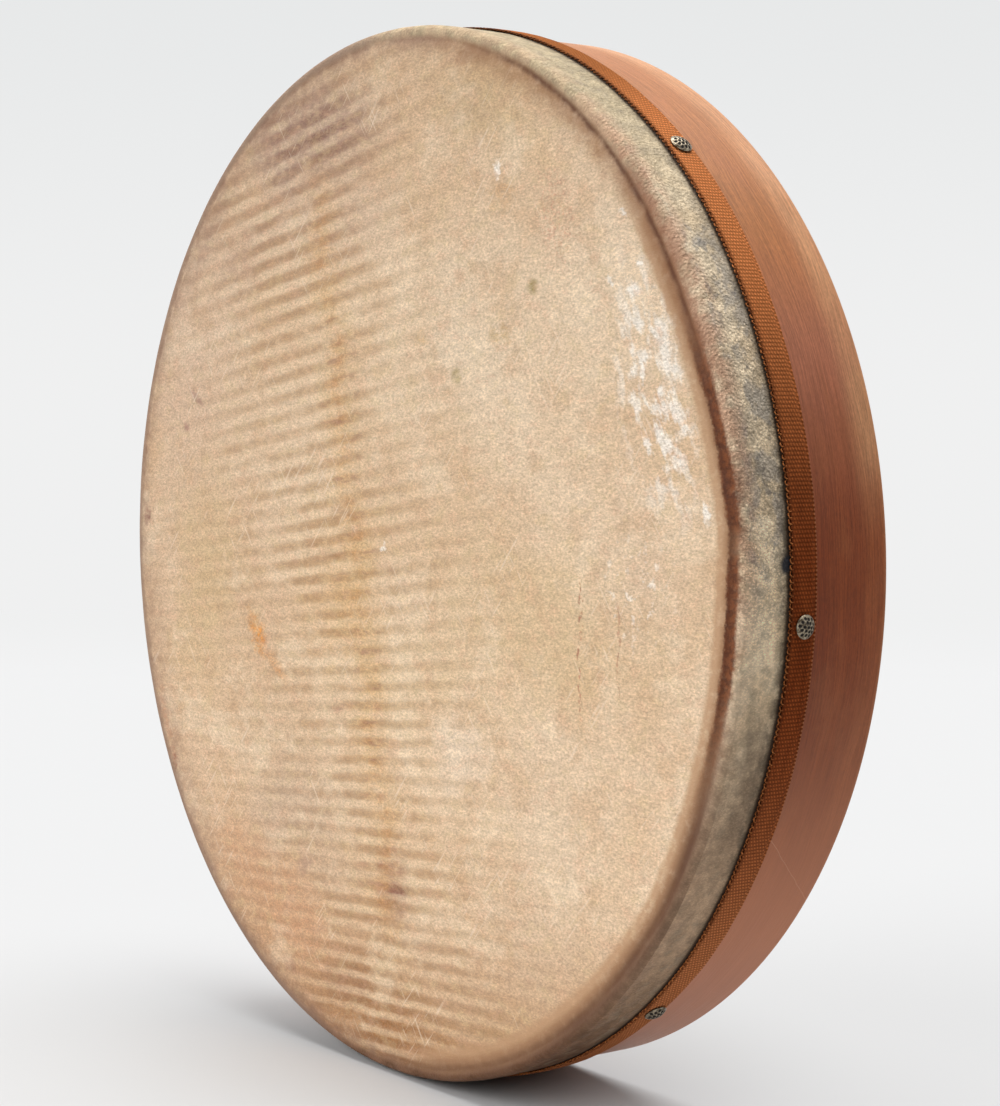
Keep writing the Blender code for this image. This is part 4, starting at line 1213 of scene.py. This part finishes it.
def loop_material():
    """The picot's thread, mottled dark and pale."""
    m = Looks("tape_loop_looks")
    place, x, y, depth, radius, angle = m.drum_place(folded=True)
    fuzz = m.noise(place, 1.3, 3.0, 0.7)
    m.color = m.mix(m.fade(fuzz, 0.42, 0.6), (0.14, 0.04, 0.012), (0.6, 0.21, 0.065))
    # Painted shade: the loops are darker toward the top, in the shadow between the tape and the
    # skin.
    m.dim(m.fade(angle, 34.0, 52.0, 1.0, 0.45))
    m.surface(0.85, 0.12)
    m.bump(m.noise(place, 6.0, 2.0), 0.00005, 0.6)
    return m.material


def bronze_material():
    """Darkened bronze, black in the pits and rubbed bright on the ridges."""
    m = Looks("antique_bronze_looks")
    place = m.own_place()
    pit = m.attribute("pit")
    tarnish = m.noise(place, 0.9, 4.0, 0.65)
    ridge = m.mix(m.fade(tarnish, 0.38, 0.62), (0.075, 0.056, 0.036), (0.34, 0.285, 0.205))
    m.color = m.mix(m.fade(pit, 0.06, 0.34), ridge, (0.016, 0.011, 0.008))
    m.surface(m.fade(pit, 0.05, 0.4, 0.34, 0.8) + tarnish * 0.08)
    m.set('Metallic', m.fade(pit, 0.06, 0.4, 1.0, 0.2))
    m.bump(m.noise(place, 4.0, 3.0), 0.00005, 0.5)
    return m.material


def gut_material():
    """Waxy yellow gut, a little see-through."""
    m = Looks("gut_looks")
    place, x, y, depth, radius, angle = m.drum_place()
    tone = m.noise(m.vector(x * 0.05, y, depth), 1.0, 3.0)
    m.color = m.mix(m.fade(tone, 0.35, 0.65), (0.62, 0.48, 0.28), (0.8, 0.69, 0.48))
    m.surface(0.38)
    m.set('Subsurface Weight', 0.15)
    m.set('Subsurface Scale', 0.001)
    m.bump(m.noise(m.vector(x * 0.4, y, depth), 4.0, 3.0), 0.00004, 0.5)
    return m.material


def peg_material():
    """Plain pale wood, its grain along the peg."""
    m = Looks("peg_wood_looks")
    x, y, z = m.parts(m.own_place())
    grain = m.noise(m.vector(x * 0.25, y * 2.6, z * 2.6), 1.0, 4.0, 0.6)
    m.color = m.mix(m.fade(grain, 0.35, 0.65), (0.36, 0.21, 0.1), (0.58, 0.39, 0.21))
    m.surface(0.6)
    m.bump(grain, 0.00015, 0.6)
    return m.material


# The floor, the background and the light. FLOOR_SHOWN is what the camera sees of the
# floor. The light that it throws back on the drum is that of a smaller pale table.
FLOOR_SHOWN = (0.535, 0.537, 0.54)
FLOOR_THROWN = (0.58, 0.565, 0.55)
FLOOR_THROWN_FAR = (0.13, 0.13, 0.13)
TABLE_START = 0.25
TABLE_END = 0.95
FLOOR_FADE_START = 0.7
FLOOR_FADE_END = 2.4
SHADOW_LIFT = 0.5
SHADOW_REACH = 0.17
SKY_LEVEL = 0.16
BACKDROP_LOW = (0.87, 0.872, 0.872)
BACKDROP_HIGH = (0.8, 0.81, 0.812)
BACKDROP_RISE = 0.2
# Suns: (name, direction they stand in, strength where pi lights white fully, spread)
SUNS = (
    ("overhead", (0.0, 0.14, 0.95), 1.25 * math.pi, 56.0),
    ("front", (-0.42, -0.8, 0.42), 0.84 * math.pi, 50.0),
)


def backdrop_share(m):
    """1 for rays from the camera and for reflections, 0 for light thrown on things."""
    path = m.add('LightPath')
    seen = m.most(path.outputs['Is Camera Ray'], path.outputs['Is Glossy Ray'])
    return m.most(seen, path.outputs['Is Transmission Ray'])


def make_floor():
    """A white floor that keeps the drum's shadow and fades into the background."""
    mesh = bpy.data.meshes.new("floor")
    shape = bmesh.new()
    bmesh.ops.create_grid(shape, x_segments=1, y_segments=1, size=30.0)
    shape.to_mesh(mesh)
    shape.free()
    floor = new_object("floor", mesh)
    m = Looks("white_floor")
    place = m.add('TexCoord').outputs['Object']
    away = m.add('VectorMath', {0: place}, operation='LENGTH').outputs['Value']
    seen = backdrop_share(m)
    thrown = m.mix(m.fade(away, TABLE_START, TABLE_END), FLOOR_THROWN, FLOOR_THROWN_FAR)
    m.color = m.mix(seen, thrown, FLOOR_SHOWN)
    m.surface(1.0, 0.0)
    distant = m.add('Emission', {'Color': BACKDROP_LOW})
    lifted = m.fade(away, 0.03, SHADOW_REACH, 0.0, SHADOW_LIFT)
    far = m.most(lifted, m.fade(away, FLOOR_FADE_START, FLOOR_FADE_END))
    blend = m.add('MixShader', enumerate((far * seen, m.shader.outputs[0], distant.outputs[0])))
    m.put(m.output.inputs['Surface'], blend.outputs[0])
    mesh.materials.append(m.material)


def make_world():
    """Even studio light from all round, with a white background behind the drum."""
    world = bpy.data.worlds.new("studio")
    bpy.context.scene.world = world
    world.use_nodes = True
    m = Nodes(world.node_tree)
    m.tree.nodes.clear()
    light = m.add('Background', {'Strength': SKY_LEVEL})
    height = m.parts(m.add('TexCoord').outputs['Generated'])[2]
    rise = m.fade(height, 0.0, BACKDROP_RISE)
    backdrop = m.add('Background', {'Color': m.mix(rise, BACKDROP_LOW, BACKDROP_HIGH)})
    choose = m.add('MixShader', enumerate((backdrop_share(m), light.outputs[0],
                                           backdrop.outputs[0])))
    m.add('OutputWorld', {'Surface': choose.outputs[0]})


def make_suns():
    """Two broad lamps: one overhead and a weaker one in front."""
    for name, stand, strength, spread in SUNS:
        data = bpy.data.lights.new(name, 'SUN')
        data.energy = strength
        data.angle = math.radians(spread)
        lamp = new_object(name, data)
        lamp.rotation_euler = (-Vector(stand)).to_track_quat('-Z', 'Y').to_euler()


def make_camera():
    """The camera that sees what the photograph shows."""
    data = bpy.data.cameras.new("photo_camera")
    data.lens = CAMERA_LENS
    data.sensor_width = CAMERA_SENSOR
    data.clip_end = 100.0
    camera = new_object("photo_camera", data)
    camera.location = CAMERA_PLACE
    camera.rotation_euler = (math.pi / 2 - CAMERA_ELEVATION, 0.0, CAMERA_AZIMUTH)
    bpy.context.scene.camera = camera


def build():
    """Put up the stage, then dress the drum piece by piece."""
    bpy.context.scene.view_settings.view_transform = 'Standard'
    make_camera()
    make_floor()
    make_world()
    make_suns()
    tape = tape_material()
    make_hoop(wood_material())
    make_skin(skin_material())
    make_tape(tape)
    bpy.data.objects["tape_loops"].data.materials[0] = loop_material()
    make_tacks(bronze_material())
    make_snares(gut_material())
    dress_pegs(peg_material())


build()
